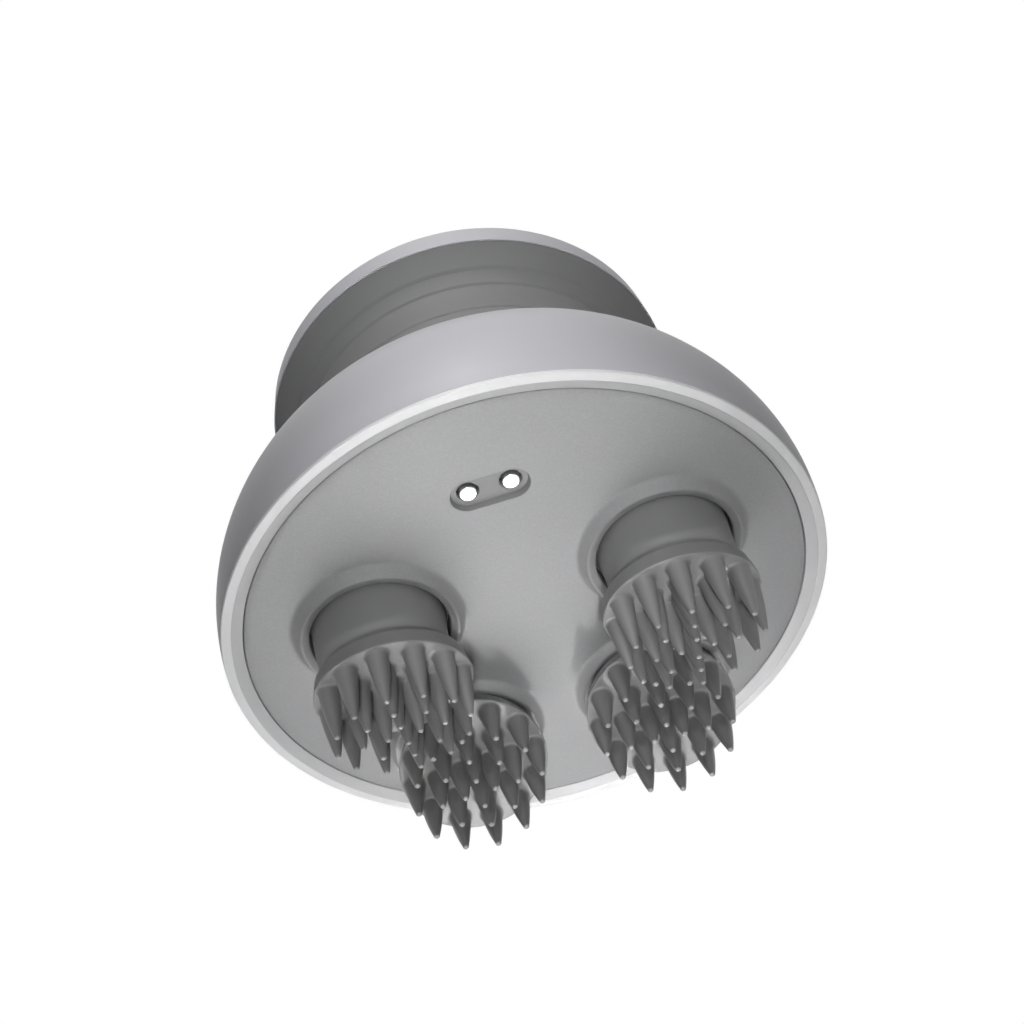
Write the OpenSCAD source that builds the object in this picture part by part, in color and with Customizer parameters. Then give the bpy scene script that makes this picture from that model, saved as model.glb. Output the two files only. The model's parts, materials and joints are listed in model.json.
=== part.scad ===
// Handheld electric scalp massager: a flared body with four driven claw
// heads underneath, a waisted grip and a mushroom cap with a power button.
// The heads nod in small circles: each hangs from a leaning pin in a geared
// crank, and all four cranks mesh with one central sun gear.
// Millimetres, +Z up, standing on its claws; the origin is on the body's
// axis at the level of the lowest claw tip.
// Heights named *_z are measured from the plane of the body's bottom rim.

/* [Body] */
// Diameter of the body at its bottom rim
rim_d = 105; // [103:0.5:110]
// Radius of the curve of the body's side
side_r = 34.6; // [34:0.1:36]
// Height of that curve's centre
side_z = 6.6; // [6:0.1:8]
// Wall of the body shell
body_wall = 2.4; // [2:0.1:3]

/* [Rim ring] */
// Width of the ring's flat bottom face
rim_face_w = 1.6; // [1:0.1:2.2]
// Width of the chamfer inside the flat face
rim_chamfer_w = 1.8; // [1:0.1:2]
// Height of that chamfer
rim_chamfer_h = 0.9; // [0.5:0.1:1.2]
// Height of the ring
rim_ring_h = 3.4; // [2.8:0.1:4]
// Height of the ring's outer edge below the body shell
rim_edge_h = 0.6; // [0.4:0.1:1]

/* [Grip] */
// Diameter of the neck
neck_d = 69.4; // [68:0.2:70]
// Radius where the neck runs out onto the body
neck_foot_r = 4; // [3:0.5:6]
// Radius where the neck runs out under the cap
neck_head_r = 10; // [9:0.5:11]
// Wall of the grip shell
grip_wall = 2.2; // [1.8:0.1:2.6]
// Width of the flange that the grip's screws go through
flange_w = 5.5; // [5.4:0.1:6]
// Thickness of that flange
flange_t = 2.3; // [2:0.1:2.6]
// Width of the ledge that carries the battery tray
ledge_w = 6; // [5.6:0.1:6.2]
// Distances of the three finger grooves below the cap's lower edge
groove_drops = [3.1, 6.1, 13.2]; // [2:0.1:14]
// Radius of each finger groove
finger_groove_r = 0.35; // [0.2:0.05:0.5]

/* [Cap] */
// Diameter of the cap at its lower edge
cap_d = 81.8; // [80:0.2:84]
// Diameter of the cap at its top edge
cap_top_d = 81.1; // [80:0.1:81.2]
// Height of the cap's lower edge
cap_edge_z = 60; // [59.5:0.1:61]
// Height of the cap's side
cap_side_h = 4.5; // [4:0.1:5]
// Radius of the cap's top edge
cap_round = 1.8; // [1.4:0.1:2.4]
// Rise of the domed top above the rounded edge
dome_rise = 2.9; // [2:0.1:4]
// Wall of the cap
cap_wall = 2.2; // [1.9:0.1:2.6]
// Width of the cap's bottom edge, seen from below
cap_lip_w = 0.7; // [0.6:0.1:1]
// Height of the grip's rim inside the cap
grip_rim_h = 2.2; // [1.8:0.1:2.4]
// Diameter of the cap gasket's cord
cap_gasket_d = 1; // [0.8:0.1:1.2]

/* [Power button] */
// Diameter of the button
button_d = 19; // [16:0.5:22]
// Height of the button above the dome
button_proud = 0.9; // [0.7:0.1:1.5]
// Travel of the button
button_travel = 0.6; // [0.4:0.1:0.6]
// Width of the light ring around the button
light_ring_w = 2; // [1.5:0.1:3]
// Gap between the button and the light ring
button_gap = 0.3; // [0.3:0.05:0.5]

/* [Base plate] */
// Thickness of the base plate in its middle
plate_t = 3; // [2.6:0.1:3.4]
// Height of the plate's crown below its edge
plate_crown = 0.8; // [0.5:0.1:1]
// Radius of the flat middle of the crown
plate_flat_r = 38; // [37:0.5:40]
// Width of the groove between the rim ring and the plate
groove_w = 0.7; // [0.5:0.1:1]
// Height of the skirt that carries the plate's gasket
skirt_h = 4.6; // [4.2:0.1:5.5]
// Thickness of the skirt
skirt_w = 3; // [2.6:0.1:3.5]
// Diameter of the gasket's cord
gasket_d = 1.6; // [1.4:0.1:1.8]
// Radius of the hole in each collar
collar_in_r = 11.8; // [11.5:0.1:12]
// Height of the hole's edge below the plate
collar_in_h = 1.7; // [1.4:0.1:1.8]
// Radius of the collar's raised ridge
collar_ridge_r = 13.2; // [12.9:0.1:13.4]
// Width of the ridge
collar_ridge_w = 0.4; // [0.2:0.1:0.6]
// Height of the ridge below the plate
collar_h = 2.1; // [1.9:0.1:2.3]
// Outer radius of the collar's slope
collar_out_r = 14.5; // [14.2:0.1:15]

/* [Claw heads] */
// Height of the point about which each head nods
pivot_z = 4.2; // [4:0.1:4.6]
// Distance from that point to the head's face
head_drop = 16.3; // [16:0.1:18]
// Diameter of a head
head_d = 26.4; // [25:0.1:26.6]
// Thickness of a head's rim
head_t = 3.2; // [3:0.1:4]
// Narrowing of the rim from the head's face to its back
head_taper = 0.7; // [0.4:0.1:0.8]
// Inward lean of each head, in degrees
head_lean = 14; // [12:0.5:15]
// Lean of the crank pins, in degrees
wobble = 5; // [3:0.5:5.5]
// Turn of the front heads' lean towards the middle, in degrees
front_lean_in = 5; // [0:1:10]
// Turn of the rear heads' lean towards the middle, in degrees
rear_lean_in = 12; // [6:1:14]
// Radius of the inner ring of claws
inner_claws_r = 2.65; // [2.5:0.05:2.8]
// Radius of the middle ring of claws
middle_claws_r = 6.7; // [6.5:0.1:6.9]
// Radius of the outer ring of claws
outer_claws_r = 10.95; // [10.7:0.05:11]
// Length of a claw from the face to the middle of its tip
claw_l = 8.2; // [7:0.1:9]
// Diameter of a claw at the face
claw_base_d = 3.7; // [3.2:0.1:3.8]
// Diameter of a claw halfway along
claw_mid_d = 2.8; // [2.4:0.1:3]
// Diameter of a claw's neck just above the tip ball
claw_neck_d = 1.3; // [1.1:0.1:1.4]
// Diameter of the ball at a claw's tip
claw_tip_d = 1.5; // [1.45:0.05:1.8]
// Diameter of the ball behind each head
ball_d = 13; // [12.6:0.1:13.4]
// Diameter of the silicone throat where it meets the head
throat_low_d = 17.8; // [17.2:0.1:18]
// Wall of the throat
throat_wall = 1.5; // [1.2:0.1:1.8]
// Thickness of the silicone behind the carrier disc
pad_skin = 0.7; // [0.5:0.1:0.9]
// Thickness of the carrier's disc
carrier_disc_t = 1.4; // [1.2:0.1:1.6]
// Wall of the silicone around the carrier disc
pad_wall = 1.6; // [1.2:0.1:2]

/* [Gear train] */
// Gear module
gear_module = 0.8; // [0.78:0.01:0.82]
// Teeth on the sun gear
sun_teeth = 45; // [43:1:46]
// Teeth on each crank gear
crank_teeth = 24; // [22:1:25]
// Play between meshing teeth
backlash = 0.16; // [0.12:0.01:0.2]
// Distance of the gear train's centre behind the body's axis
drive_y = 2.5; // [1.5:0.1:3]
// Angle of the front heads below the X axis, in degrees
front_angle = 27; // [24:1:30]
// Angle of the rear heads above the X axis, in degrees
rear_angle = 49.5; // [47:0.5:51]
// Height of the underside of the lower frame plate
frame_z = 8.4; // [8.2:0.1:8.8]
// Thickness of each frame plate
frame_t = 2.4; // [2.2:0.1:2.8]
// Radius of the frame plates
frame_r = 42; // [41:0.5:43]
// Height of a gear's body between the frame plates
gear_h = 4.8; // [4.4:0.1:5.4]
// Width of a gear's toothed ring
gear_face_w = 4.2; // [3.6:0.1:4.2]
// Diameter of a crank's journals
journal_d = 12; // [11.6:0.1:12.4]
// Diameter of a crank pin
pin_d = 3; // [2.8:0.1:3.2]
// Wall of the bush around a crank pin
bush_wall = 1; // [0.8:0.1:1.2]
// Diameter of the sun gear's shaft
shaft_d = 5; // [4.6:0.1:5.4]
// Diameter of the sun gear's hub
sun_hub_d = 12; // [11:0.5:13]

/* [Motor and battery] */
// Diameter of the gearbox and the motor
motor_d = 24.4; // [24:0.1:25]
// Height of the gearbox
gearbox_h = 12; // [11:0.5:12]
// Height of the motor
motor_h = 12.3; // [11.8:0.1:12.8]
// Width of the battery
battery_w = 30; // [28:0.5:31]
// Length of the battery
battery_l = 48; // [46:0.5:49]
// Thickness of the battery
battery_t = 9.6; // [9:0.1:10]
// Diameter of the circuit board
board_d = 62; // [61.6:0.1:63]
// Thickness of the circuit board
board_t = 1.6; // [1.4:0.1:1.7]
// Height of the circuit board above the cap's lower edge
board_lift = 0.6; // [0.5:0.1:0.8]
// Diameter of the posts under the circuit board
board_post_d = 5.6; // [5.2:0.1:6]
// Distance of the parts on the board from its middle
parts_r = 17.6; // [17:0.2:19]
// Width of the processor
processor_w = 6; // [5:0.5:7]
// Height of the processor
processor_h = 1; // [0.8:0.1:1.2]
// Length of the motor driver
driver_l = 5; // [4:0.5:6]
// Width of the motor driver
driver_w = 4; // [3:0.5:5]
// Height of the motor driver
driver_h = 1.2; // [0.9:0.1:1.4]
// Length of the battery's connector
connector_l = 7; // [6:0.5:8]
// Width of that connector
connector_w = 4.5; // [4:0.5:5]
// Height of that connector
connector_h = 2.4; // [2:0.1:2.6]
// Diameter of the capacitor
capacitor_d = 5; // [4:0.5:5]
// Height of the capacitor
capacitor_h = 3; // [2.4:0.1:3]

/* [Charging contacts] */
// Distance of the contacts in front of the body's axis
contact_y = 32.2; // [31:0.1:33]
// Distance between the two contacts
contact_pitch = 7; // [6.6:0.1:7.2]
// Diameter of a contact pin
contact_d = 2.9; // [2.6:0.1:3]
// Diameter of the hole around a contact pin
contact_hole_d = 3.6; // [3.5:0.05:3.8]
// Length of the recess around both contacts
recess_l = 13; // [12.6:0.1:13.4]
// Width of that recess
recess_w = 6; // [5.6:0.1:6.4]
// Depth of that recess
recess_depth = 1.1; // [0.8:0.1:1.4]

/* [Screws] */
// Diameter of the screws
screw_d = 2.5; // [2.2:0.1:2.6]
// Diameter of their heads
screw_head_d = 4.8; // [4.4:0.1:5]
// Height of their heads
screw_head_h = 1.6; // [1.4:0.1:1.8]
// Diameter of the posts that the screws go through
post_d = 7; // [6.6:0.1:7.2]
// Depth of the gearbox's screw threads
gearbox_thread = 3; // [2.4:0.1:4]

/* [Fits] */
// Radial clearance of a running fit
run_fit = 0.05; // [0.03:0.01:0.08]
// Clearance between pieces that are fixed together
seat_fit = 0.02; // [0.01:0.01:0.03]
// Axial play of the turning parts
axial_play = 0.3; // [0.25:0.05:0.35]
// Gap between a seal's lip and the ball that it wipes
wipe_gap = 0.3; // [0.25:0.05:0.35]
// Gap between a head's throat and its collar
throat_gap = 0.35; // [0.3:0.05:0.5]
// Play of a screw in its clearance hole
screw_play = 0.15; // [0.1:0.05:0.2]

/* [Hidden] */
$fn = 64;
small = 0.01;
FR = 0;
FL = 1;
RR = 2;
RL = 3;

// --- plane geometry -------------------------------------------------------
function arc(cx, cy, r, a0, a1, n = 8) =
    [for (i = [0:n]) let (a = a0 + (a1 - a0) * i / n) [cx + r * cos(a), cy + r * sin(a)]];
function rx(v, a) = [v.x, v.y * cos(a) - v.z * sin(a), v.y * sin(a) + v.z * cos(a)];
function ry(v, a) = [v.x * cos(a) + v.z * sin(a), v.y, v.z * cos(a) - v.x * sin(a)];
function rz(v, a) = [v.x * cos(a) - v.y * sin(a), v.x * sin(a) + v.y * cos(a), v.z];

// --- where the heads are --------------------------------------------------
crank_distance = gear_module * (sun_teeth + crank_teeth) / 2;
head_angles = [-front_angle, 180 + front_angle, rear_angle, 180 - rear_angle];
lean_headings = [90 + front_lean_in, 90 - front_lean_in,
                 270 - rear_lean_in, 270 + rear_lean_in];
function head_at(k) = [crank_distance * cos(head_angles[k]),
                       drive_y + crank_distance * sin(head_angles[k]), pivot_z];
function lean_turn(v, k) =
    rz(ry(rz(v, -lean_headings[k]), -head_lean), lean_headings[k]);

claw_rings = [[inner_claws_r, 4], [middle_claws_r, 8], [outer_claws_r, 12]];
claw_spots = [for (ring = claw_rings) for (i = [0:ring[1] - 1])
    let (a = 360 * i / ring[1]) [ring[0] * cos(a), ring[0] * sin(a)]];
tip_heights = [for (k = [FR:RL]) for (spot = claw_spots)
    (rx(lean_turn([spot.x, spot.y, -head_drop - claw_l], k), -wobble)).z];
// Height of the rim's plane above the lowest claw tip
rim_z = claw_tip_d / 2 - pivot_z - min(tip_heights);

// --- body outline ---------------------------------------------------------
side_c = rim_d / 2 - sqrt(side_r * side_r - side_z * side_z);
neck_r = neck_d / 2;
foot_c = neck_r + neck_foot_r;
foot_c_z = side_z + sqrt(pow(side_r + neck_foot_r, 2) - pow(foot_c - side_c, 2));
foot_angle = atan2(foot_c_z - side_z, foot_c - side_c);
foot_r = side_c + side_r * cos(foot_angle);
foot_z = side_z + side_r * sin(foot_angle);
function body_r(z, inset) = side_c + sqrt(pow(side_r - inset, 2) - pow(z - side_z, 2));
function side_angle(z, inset) = asin((z - side_z) / (side_r - inset));
neck_in_r = neck_r - grip_wall;
flange_in_r = neck_in_r - flange_w;
flange_top_z = foot_z - 1.4;

rim_in_r = rim_d / 2 - rim_face_w;
chamfer_in_r = rim_in_r - rim_chamfer_w;
plate_r = chamfer_in_r - groove_w;
plate_edge_z = rim_chamfer_h;
plate_z = plate_edge_z - plate_crown;
plate_top_z = plate_z + plate_t;
shell_in_r = chamfer_in_r + 0.9;
housing_h = 3;
pin_face_z = plate_z + 0.5;
pin_flange_h = 0.8;
gasket_z = (plate_edge_z + rim_ring_h) / 2;
gasket_seat_r = plate_r - gasket_d * 0.75;

// --- heads in their collars -----------------------------------------------
collar_top_z = plate_top_z + 1.4;
// Distances of the throat's rim, the throat's low end and the head's back below the pivot
throat_top = pivot_z - plate_z - 0.1;
throat_low = head_drop - 0.5;
head_back = head_drop - head_t;
throat_r = collar_in_r - throat_top * sin(wobble) - throat_gap;
// The seal's lip wipes the ball, above the highest reach of the throat's rim, and the
// stem clears the lip at the steepest lean
wipe_r = ball_d / 2 + wipe_gap;
lip_z = pivot_z - throat_top + throat_r * sin(wobble) + 0.4;
lip_angle = acos((pivot_z - lip_z) / wipe_r) - head_lean - wobble;
stem_r = wipe_r * sin(lip_angle) - 0.1;

// --- gear stack -----------------------------------------------------------
lower_top_z = frame_z + frame_t;
gear_z = lower_top_z + axial_play;
upper_z = gear_z + gear_h + axial_play;
upper_top_z = upper_z + frame_t;
journal_top_z = upper_top_z + 0.9;
clip_t = 0.5;
clip_d = pin_d + 2.4;
clip_gap = axial_play + clip_d / 2 * sin(wobble);
cavity_z = upper_top_z - 1.7;
cavity_d = journal_d - 2.6;
bush_d = pin_d + 2 * bush_wall;

// --- fasteners ------------------------------------------------------------
grip_post_r = neck_in_r - screw_head_d / 2 - 0.4;
// The rear frame post stands beside a grip post, clear of it by its screw's head
beside = post_d / 2 + screw_head_d / 2 + 0.4;
frame_posts = [[beside * cos(35), grip_post_r + beside * sin(35)],
               [frame_r - post_d / 2 - 3, 9], [-(frame_r - post_d / 2 - 3), 9],
               [frame_r * 0.45, -frame_r * 0.69], [-frame_r * 0.45, -frame_r * 0.69]];
grip_posts = [for (a = [0:90:270]) [grip_post_r * cos(a), grip_post_r * sin(a)]];
gearbox_screw_r = motor_d / 2 - 3.7;
board_post_r = neck_in_r - 4;
board_posts = [for (a = [45:90:315]) [board_post_r * cos(a), board_post_r * sin(a)]];
pilot_r = screw_d / 2 + seat_fit;
clear_r = screw_d / 2 + screw_play;

// --- grip outline ---------------------------------------------------------
head_c = neck_r + neck_head_r;
head_c_z = cap_edge_z - sqrt(pow(neck_head_r, 2) - pow(head_c - cap_d / 2, 2));
function flare_z(r) = head_c_z + sqrt(pow(neck_head_r, 2) - pow(head_c - r, 2));
function grip_r(z) = z < head_c_z ? neck_r
    : head_c - sqrt(pow(neck_head_r, 2) - pow(z - head_c_z, 2));
grip_rim_r = cap_d / 2 - cap_lip_w - seat_fit;
grip_rim_top_z = flare_z(grip_rim_r) + grip_rim_h;
grip_rim_w = 1.8;
cap_seat_z = grip_rim_top_z + cap_gasket_d + seat_fit;
tray_t = 1.4;
terminal_x = 7;
terminal_h = 1.8;
tray_z = upper_top_z + gearbox_h + motor_h + terminal_h + 1.4;
battery_z = tray_z + tray_t;
board_z = cap_edge_z + board_lift;
board_top_z = board_z + board_t;
wire_r = 0.6;
wire_x = post_d / 2 + wire_r + 0.3;
wire_y = neck_in_r - ledge_w - 2;

// --- cap outline ----------------------------------------------------------
cap_round_c = cap_top_d / 2 - cap_round;
cap_round_z = cap_edge_z + cap_side_h;
dome_edge_r = cap_round_c + 0.6;
dome_r = (dome_edge_r * dome_edge_r + dome_rise * dome_rise) / (2 * dome_rise);
dome_tilt = asin(cap_round_c / (dome_r - cap_round));
dome_c = cap_round_z - (dome_r - cap_round) * cos(dome_tilt);
function dome_z(r, inset) = dome_c + sqrt(pow(dome_r - inset, 2) - r * r);
button_r = button_d / 2;
light_in_r = button_r + button_gap;
light_out_r = light_in_r + light_ring_w;
button_top_z = dome_z(0, 0) + button_proud;
switch_h = 2.2;
plunger_gap = 0.1;

module at_rim() { translate([0, 0, rim_z]) children(); }
module ring(r_out, r_in, h) {
    difference() {
        cylinder(r = r_out, h = h);
        translate([0, 0, -small]) cylinder(r = r_in, h = h + 2 * small);
    }
}
module at_each(places) { for (p = places) translate([p.x, p.y, 0]) children(); }
// Brings geometry drawn about a head's pivot, with the pin upright, to head k
module at_pivot(k) { at_rim() translate(head_at(k)) rotate([-wobble, 0, 0]) children(); }
// The same, turned on to the head's leaning face axis
module at_head(k) {
    at_pivot(k) rotate([0, 0, lean_headings[k]]) rotate([0, -head_lean, 0])
        rotate([0, 0, -lean_headings[k]]) children();
}
module screw(length) {
    difference() {
        union() {
            cylinder(r = screw_head_d / 2, h = screw_head_h);
            translate([0, 0, -length]) cylinder(r = screw_d / 2, h = length + small);
        }
        translate([0, 0, screw_head_h * 0.4])
            cylinder(r = screw_d * 0.42, h = screw_head_h, $fn = 6);
    }
}

// --- casings --------------------------------------------------------------
module rim_ring() {
    color("whitesmoke") at_rim() rotate_extrude($fn = 128) polygon([
        [rim_d / 2, 0], [body_r(rim_edge_h, 0), rim_edge_h],
        [shell_in_r - seat_fit, rim_edge_h], [shell_in_r - seat_fit, rim_ring_h],
        [chamfer_in_r, rim_ring_h], [chamfer_in_r, rim_chamfer_h], [rim_in_r, 0]]);
}

module body_shell() {
    under_z = flange_top_z - flange_t;
    outer = concat(
        arc(side_c, side_z, side_r, side_angle(rim_edge_h, 0), foot_angle, 24),
        [[foot_r, flange_top_z], [flange_in_r, flange_top_z], [flange_in_r, under_z]]);
    inner = concat(
        arc(side_c, side_z, side_r - body_wall, side_angle(under_z, body_wall),
            side_angle(rim_ring_h + 1.2, body_wall), 16),
        [[shell_in_r, rim_ring_h], [shell_in_r, rim_edge_h]]);
    color([0.74, 0.73, 0.77]) at_rim() difference() {
        rotate_extrude($fn = 128) polygon(concat(outer, inner));
        at_each(grip_posts) translate([0, 0, under_z - 1])
            cylinder(r = clear_r, h = flange_t + 2);
    }
}

module grip_shell() {
    outer = concat(
        [[foot_r - seat_fit, flange_top_z]],
        arc(foot_c, foot_c_z, neck_foot_r, 180 + foot_angle, 180, 7),
        arc(head_c, head_c_z, neck_head_r, 180,
            180 - acos((head_c - grip_rim_r) / neck_head_r), 12));
    rim_in_r = grip_rim_r - grip_rim_w;
    in_r = neck_head_r + grip_wall;
    inner = concat(
        [[grip_rim_r, grip_rim_top_z], [rim_in_r, grip_rim_top_z]],
        arc(head_c, head_c_z, in_r, 180 - acos((head_c - rim_in_r) / in_r), 180, 10),
        [[neck_in_r, tray_z], [neck_in_r - ledge_w, tray_z],
         [neck_in_r - ledge_w, tray_z - 2], [neck_in_r, tray_z - 2 - ledge_w],
         [neck_in_r, flange_top_z + flange_t], [flange_in_r, flange_top_z + flange_t],
         [flange_in_r, flange_top_z]]);
    color([0.42, 0.42, 0.43]) at_rim() difference() {
        rotate_extrude($fn = 128) polygon(concat(outer, inner));
        for (drop = groove_drops) translate([0, 0, cap_edge_z - drop])
            rotate_extrude($fn = 128) translate([grip_r(cap_edge_z - drop), 0])
            circle(r = finger_groove_r, $fn = 24);
        at_each(grip_posts) translate([0, 0, flange_top_z - 1])
            cylinder(r = clear_r, h = flange_t + 2);
        at_each(grip_posts) translate([0, 0, flange_top_z + flange_t])
            cylinder(r = screw_head_d / 2 + screw_play, h = tray_z);
        at_each(board_posts) translate([0, 0, tray_z - ledge_w])
            cylinder(r = pilot_r, h = ledge_w + 1);
    }
}

module cap_shell() {
    outer = concat(
        [[cap_d / 2 - 0.2, cap_edge_z], [cap_d / 2, cap_edge_z + 0.2]],
        arc(cap_round_c, cap_round_z, cap_round, 0, 90 - dome_tilt, 8),
        [for (i = [1:6]) let (r = cap_round_c * (1 - i / 6) + light_out_r * i / 6)
            [r, dome_z(r, 0)]]);
    inner = concat(
        [for (i = [0:6]) let (r = cap_round_c * i / 6 + light_out_r * (1 - i / 6))
            [r, dome_z(r, cap_wall)]],
        [[cap_top_d / 2 - cap_wall, cap_round_z - 0.4], [cap_top_d / 2 - cap_wall, cap_seat_z],
         [grip_rim_r + seat_fit, cap_seat_z], [grip_rim_r + seat_fit, cap_edge_z]]);
    color([0.76, 0.75, 0.79]) at_rim() rotate_extrude($fn = 128)
        polygon(concat(outer, inner));
}

module cap_gasket() {
    color("dimgray") at_rim() translate([0, 0, grip_rim_top_z + cap_gasket_d / 2])
        rotate_extrude($fn = 128) translate([grip_rim_r - grip_rim_w / 2, 0])
        circle(r = cap_gasket_d / 2);
}

module light_ring() {
    seat_r = light_out_r + 1.6;
    seat_z = dome_z(seat_r, cap_wall) - 0.9;
    color([0.93, 0.94, 0.96]) at_rim() rotate_extrude($fn = 96) polygon([
        [light_in_r, dome_z(light_in_r, 0)],
        [light_out_r - seat_fit, dome_z(light_out_r, 0)],
        [light_out_r - seat_fit, dome_z(seat_r, cap_wall) - seat_fit],
        [seat_r, dome_z(seat_r, cap_wall) - seat_fit],
        [seat_r, seat_z], [light_in_r, seat_z]]);
}

module power_button() {
    flange_z = dome_z(light_out_r + 1.6, cap_wall) - 0.9;
    color([0.80, 0.79, 0.82]) at_rim() union() {
        rotate_extrude($fn = 96) polygon(concat(
            [[0, button_top_z], [button_r - 1.2, button_top_z]],
            arc(button_r - 0.5, button_top_z - 0.5, 0.5, 90, 0, 4),
            [[button_r, flange_z - button_travel - 0.5],
             [button_r - 1.4, flange_z - button_travel - 0.5],
             [button_r - 1.4, button_top_z - 1.8], [0, button_top_z - 1.8]]));
        translate([0, 0, board_top_z + switch_h + 1.2])
            cylinder(r = 1.8, h = button_top_z - 1.7 - board_top_z - switch_h - 1.2);
    }
}

// --- base plate -----------------------------------------------------------
module stadium(l, w, h) {
    translate([-(l - w) / 2, 0, 0]) cylinder(r = w / 2, h = h);
    translate([(l - w) / 2, 0, 0]) cylinder(r = w / 2, h = h);
    translate([-(l - w) / 2, -w / 2, 0]) cube([l - w, w, h]);
}

module base_plate() {
    boss_h = frame_z - plate_top_z;
    color([0.62, 0.62, 0.64]) at_rim() difference() {
        union() {
            rotate_extrude($fn = 128) polygon([
                [0, plate_z], [plate_flat_r, plate_z], [plate_r, plate_edge_z],
                [plate_r, plate_edge_z + skirt_h], [plate_r - skirt_w, plate_edge_z + skirt_h],
                [plate_r - skirt_w, plate_top_z], [0, plate_top_z]]);
            at_each([for (k = [FR:RL]) head_at(k)]) rotate_extrude($fn = 96) polygon([
                [collar_in_r - 1, plate_z - collar_in_h], [collar_in_r, plate_z - collar_in_h],
                [collar_ridge_r - collar_ridge_w / 2, plate_z - collar_h],
                [collar_ridge_r + collar_ridge_w / 2, plate_z - collar_h],
                [collar_out_r, plate_z], [collar_out_r + 0.5, plate_edge_z],
                [collar_in_r + 1.6, collar_top_z], [collar_in_r - 1, collar_top_z]]);
            at_each(frame_posts) translate([0, 0, plate_top_z - small])
                cylinder(r = post_d / 2, h = boss_h + small);
        }
        at_each([for (k = [FR:RL]) head_at(k)]) translate([0, 0, plate_z - collar_h - 1])
            cylinder(r = collar_in_r, h = collar_top_z - plate_z + collar_h + 2, $fn = 96);
        at_each(frame_posts) translate([0, 0, plate_top_z - 0.6])
            cylinder(r = pilot_r, h = boss_h + 1);
        translate([0, -contact_y, plate_z - 1])
            stadium(recess_l, recess_w, recess_depth + 1);
        for (s = [-1, 1]) translate([s * contact_pitch / 2, -contact_y, plate_z - 1])
            cylinder(r = contact_hole_d / 2, h = plate_t + 2);
        translate([0, 0, gasket_z - gasket_d / 2 - 0.05])
            ring(plate_r + 1, gasket_seat_r, gasket_d + 0.1, $fn = 128);
    }
}

module base_gasket() {
    color("dimgray") at_rim() translate([0, 0, gasket_z]) rotate_extrude($fn = 128)
        translate([gasket_seat_r + gasket_d / 2 + seat_fit, 0]) circle(r = gasket_d / 2);
}

module contact_housing() {
    wall = 1.2;
    color([0.25, 0.25, 0.26]) at_rim() difference() {
        translate([0, -contact_y, plate_top_z])
            stadium(recess_l + 2 * wall, recess_w + 2 * wall, housing_h);
        for (s = [-1, 1]) translate([s * contact_pitch / 2, -contact_y, plate_top_z - 1])
            cylinder(r = contact_d / 2 + seat_fit, h = housing_h + 2);
    }
}

module contact_pins() {
    color("silver") at_rim() for (s = [-1, 1]) translate([s * contact_pitch / 2, -contact_y, 0]) {
        translate([0, 0, pin_face_z])
            cylinder(r = contact_d / 2, h = plate_top_z + housing_h - pin_face_z);
        translate([0, 0, plate_top_z + housing_h])
            cylinder(r = contact_d / 2 + 0.6, h = pin_flange_h);
    }
}

// --- seals and heads ------------------------------------------------------
module seal_boot(k) {
    out_r = collar_in_r - seat_fit;
    color([0.34, 0.34, 0.35]) at_rim() translate([head_at(k).x, head_at(k).y, 0])
        difference() {
            rotate_extrude($fn = 96) polygon([
                [4, lip_z], [out_r, lip_z], [out_r, collar_top_z], [out_r - 1, collar_top_z],
                [out_r - 1, lip_z + 1], [out_r - 2.6, lip_z + 1], [out_r - 3.4, lip_z + 1.8],
                [4, lip_z + 1.8]]);
            translate([0, 0, pivot_z]) sphere(r = wipe_r);
        }
}

module head_pin(k) {
    groove_z = (cavity_z - pivot_z) / cos(wobble) + clip_gap;
    color("silver") at_pivot(k) difference() {
        translate([0, 0, -ball_d * 0.25])
            cylinder(r = pin_d / 2, h = ball_d * 0.25 + groove_z + clip_t + 0.6);
        translate([0, 0, groove_z - 0.05]) ring(pin_d, pin_d / 2 - 0.4, clip_t + 0.1);
    }
}

module pin_clip(k) {
    groove_z = (cavity_z - pivot_z) / cos(wobble) + clip_gap;
    color("dimgray") at_pivot(k) translate([0, 0, groove_z])
        ring(clip_d / 2, pin_d / 2 - 0.4 + seat_fit, clip_t);
}

module head_carrier(k) {
    ball_top = frame_z - pivot_z - 1;
    disc_z = -head_back - pad_skin;
    color([0.3, 0.3, 0.31]) difference() {
        union() {
            at_pivot(k) difference() {
                sphere(r = ball_d / 2);
                translate([-ball_d, -ball_d, ball_top]) cube(2 * ball_d);
            }
            at_head(k) translate([0, 0, disc_z - small]) cylinder(r = stem_r, h = small - disc_z);
            at_head(k) translate([0, 0, disc_z - carrier_disc_t])
                cylinder(r = head_d / 2 - pad_wall, h = carrier_disc_t);
        }
        at_pivot(k) translate([0, 0, -ball_d * 0.25 - 0.1])
            cylinder(r = pin_d / 2 + seat_fit, h = ball_d);
    }
}

module claw() {
    half = claw_l / 2;
    translate([0, 0, -half])
        cylinder(r1 = claw_mid_d / 2, r2 = claw_base_d / 2, h = half + small, $fn = 32);
    translate([0, 0, -claw_l])
        cylinder(r1 = claw_neck_d / 2, r2 = claw_mid_d / 2, h = half + small, $fn = 32);
    translate([0, 0, -claw_l]) sphere(r = claw_tip_d / 2, $fn = 32);
}

// The throat's cone about the pin, ending square to the head at the given distance
module throat(k, inset, end) {
    intersection() {
        at_pivot(k) translate([0, 0, -throat_low]) cylinder(
            r1 = throat_low_d / 2 - inset, r2 = throat_r - inset,
            h = throat_low - throat_top, $fn = 96);
        at_head(k) translate([0, 0, -end]) cylinder(r = head_d, h = end + head_d);
    }
}

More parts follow.
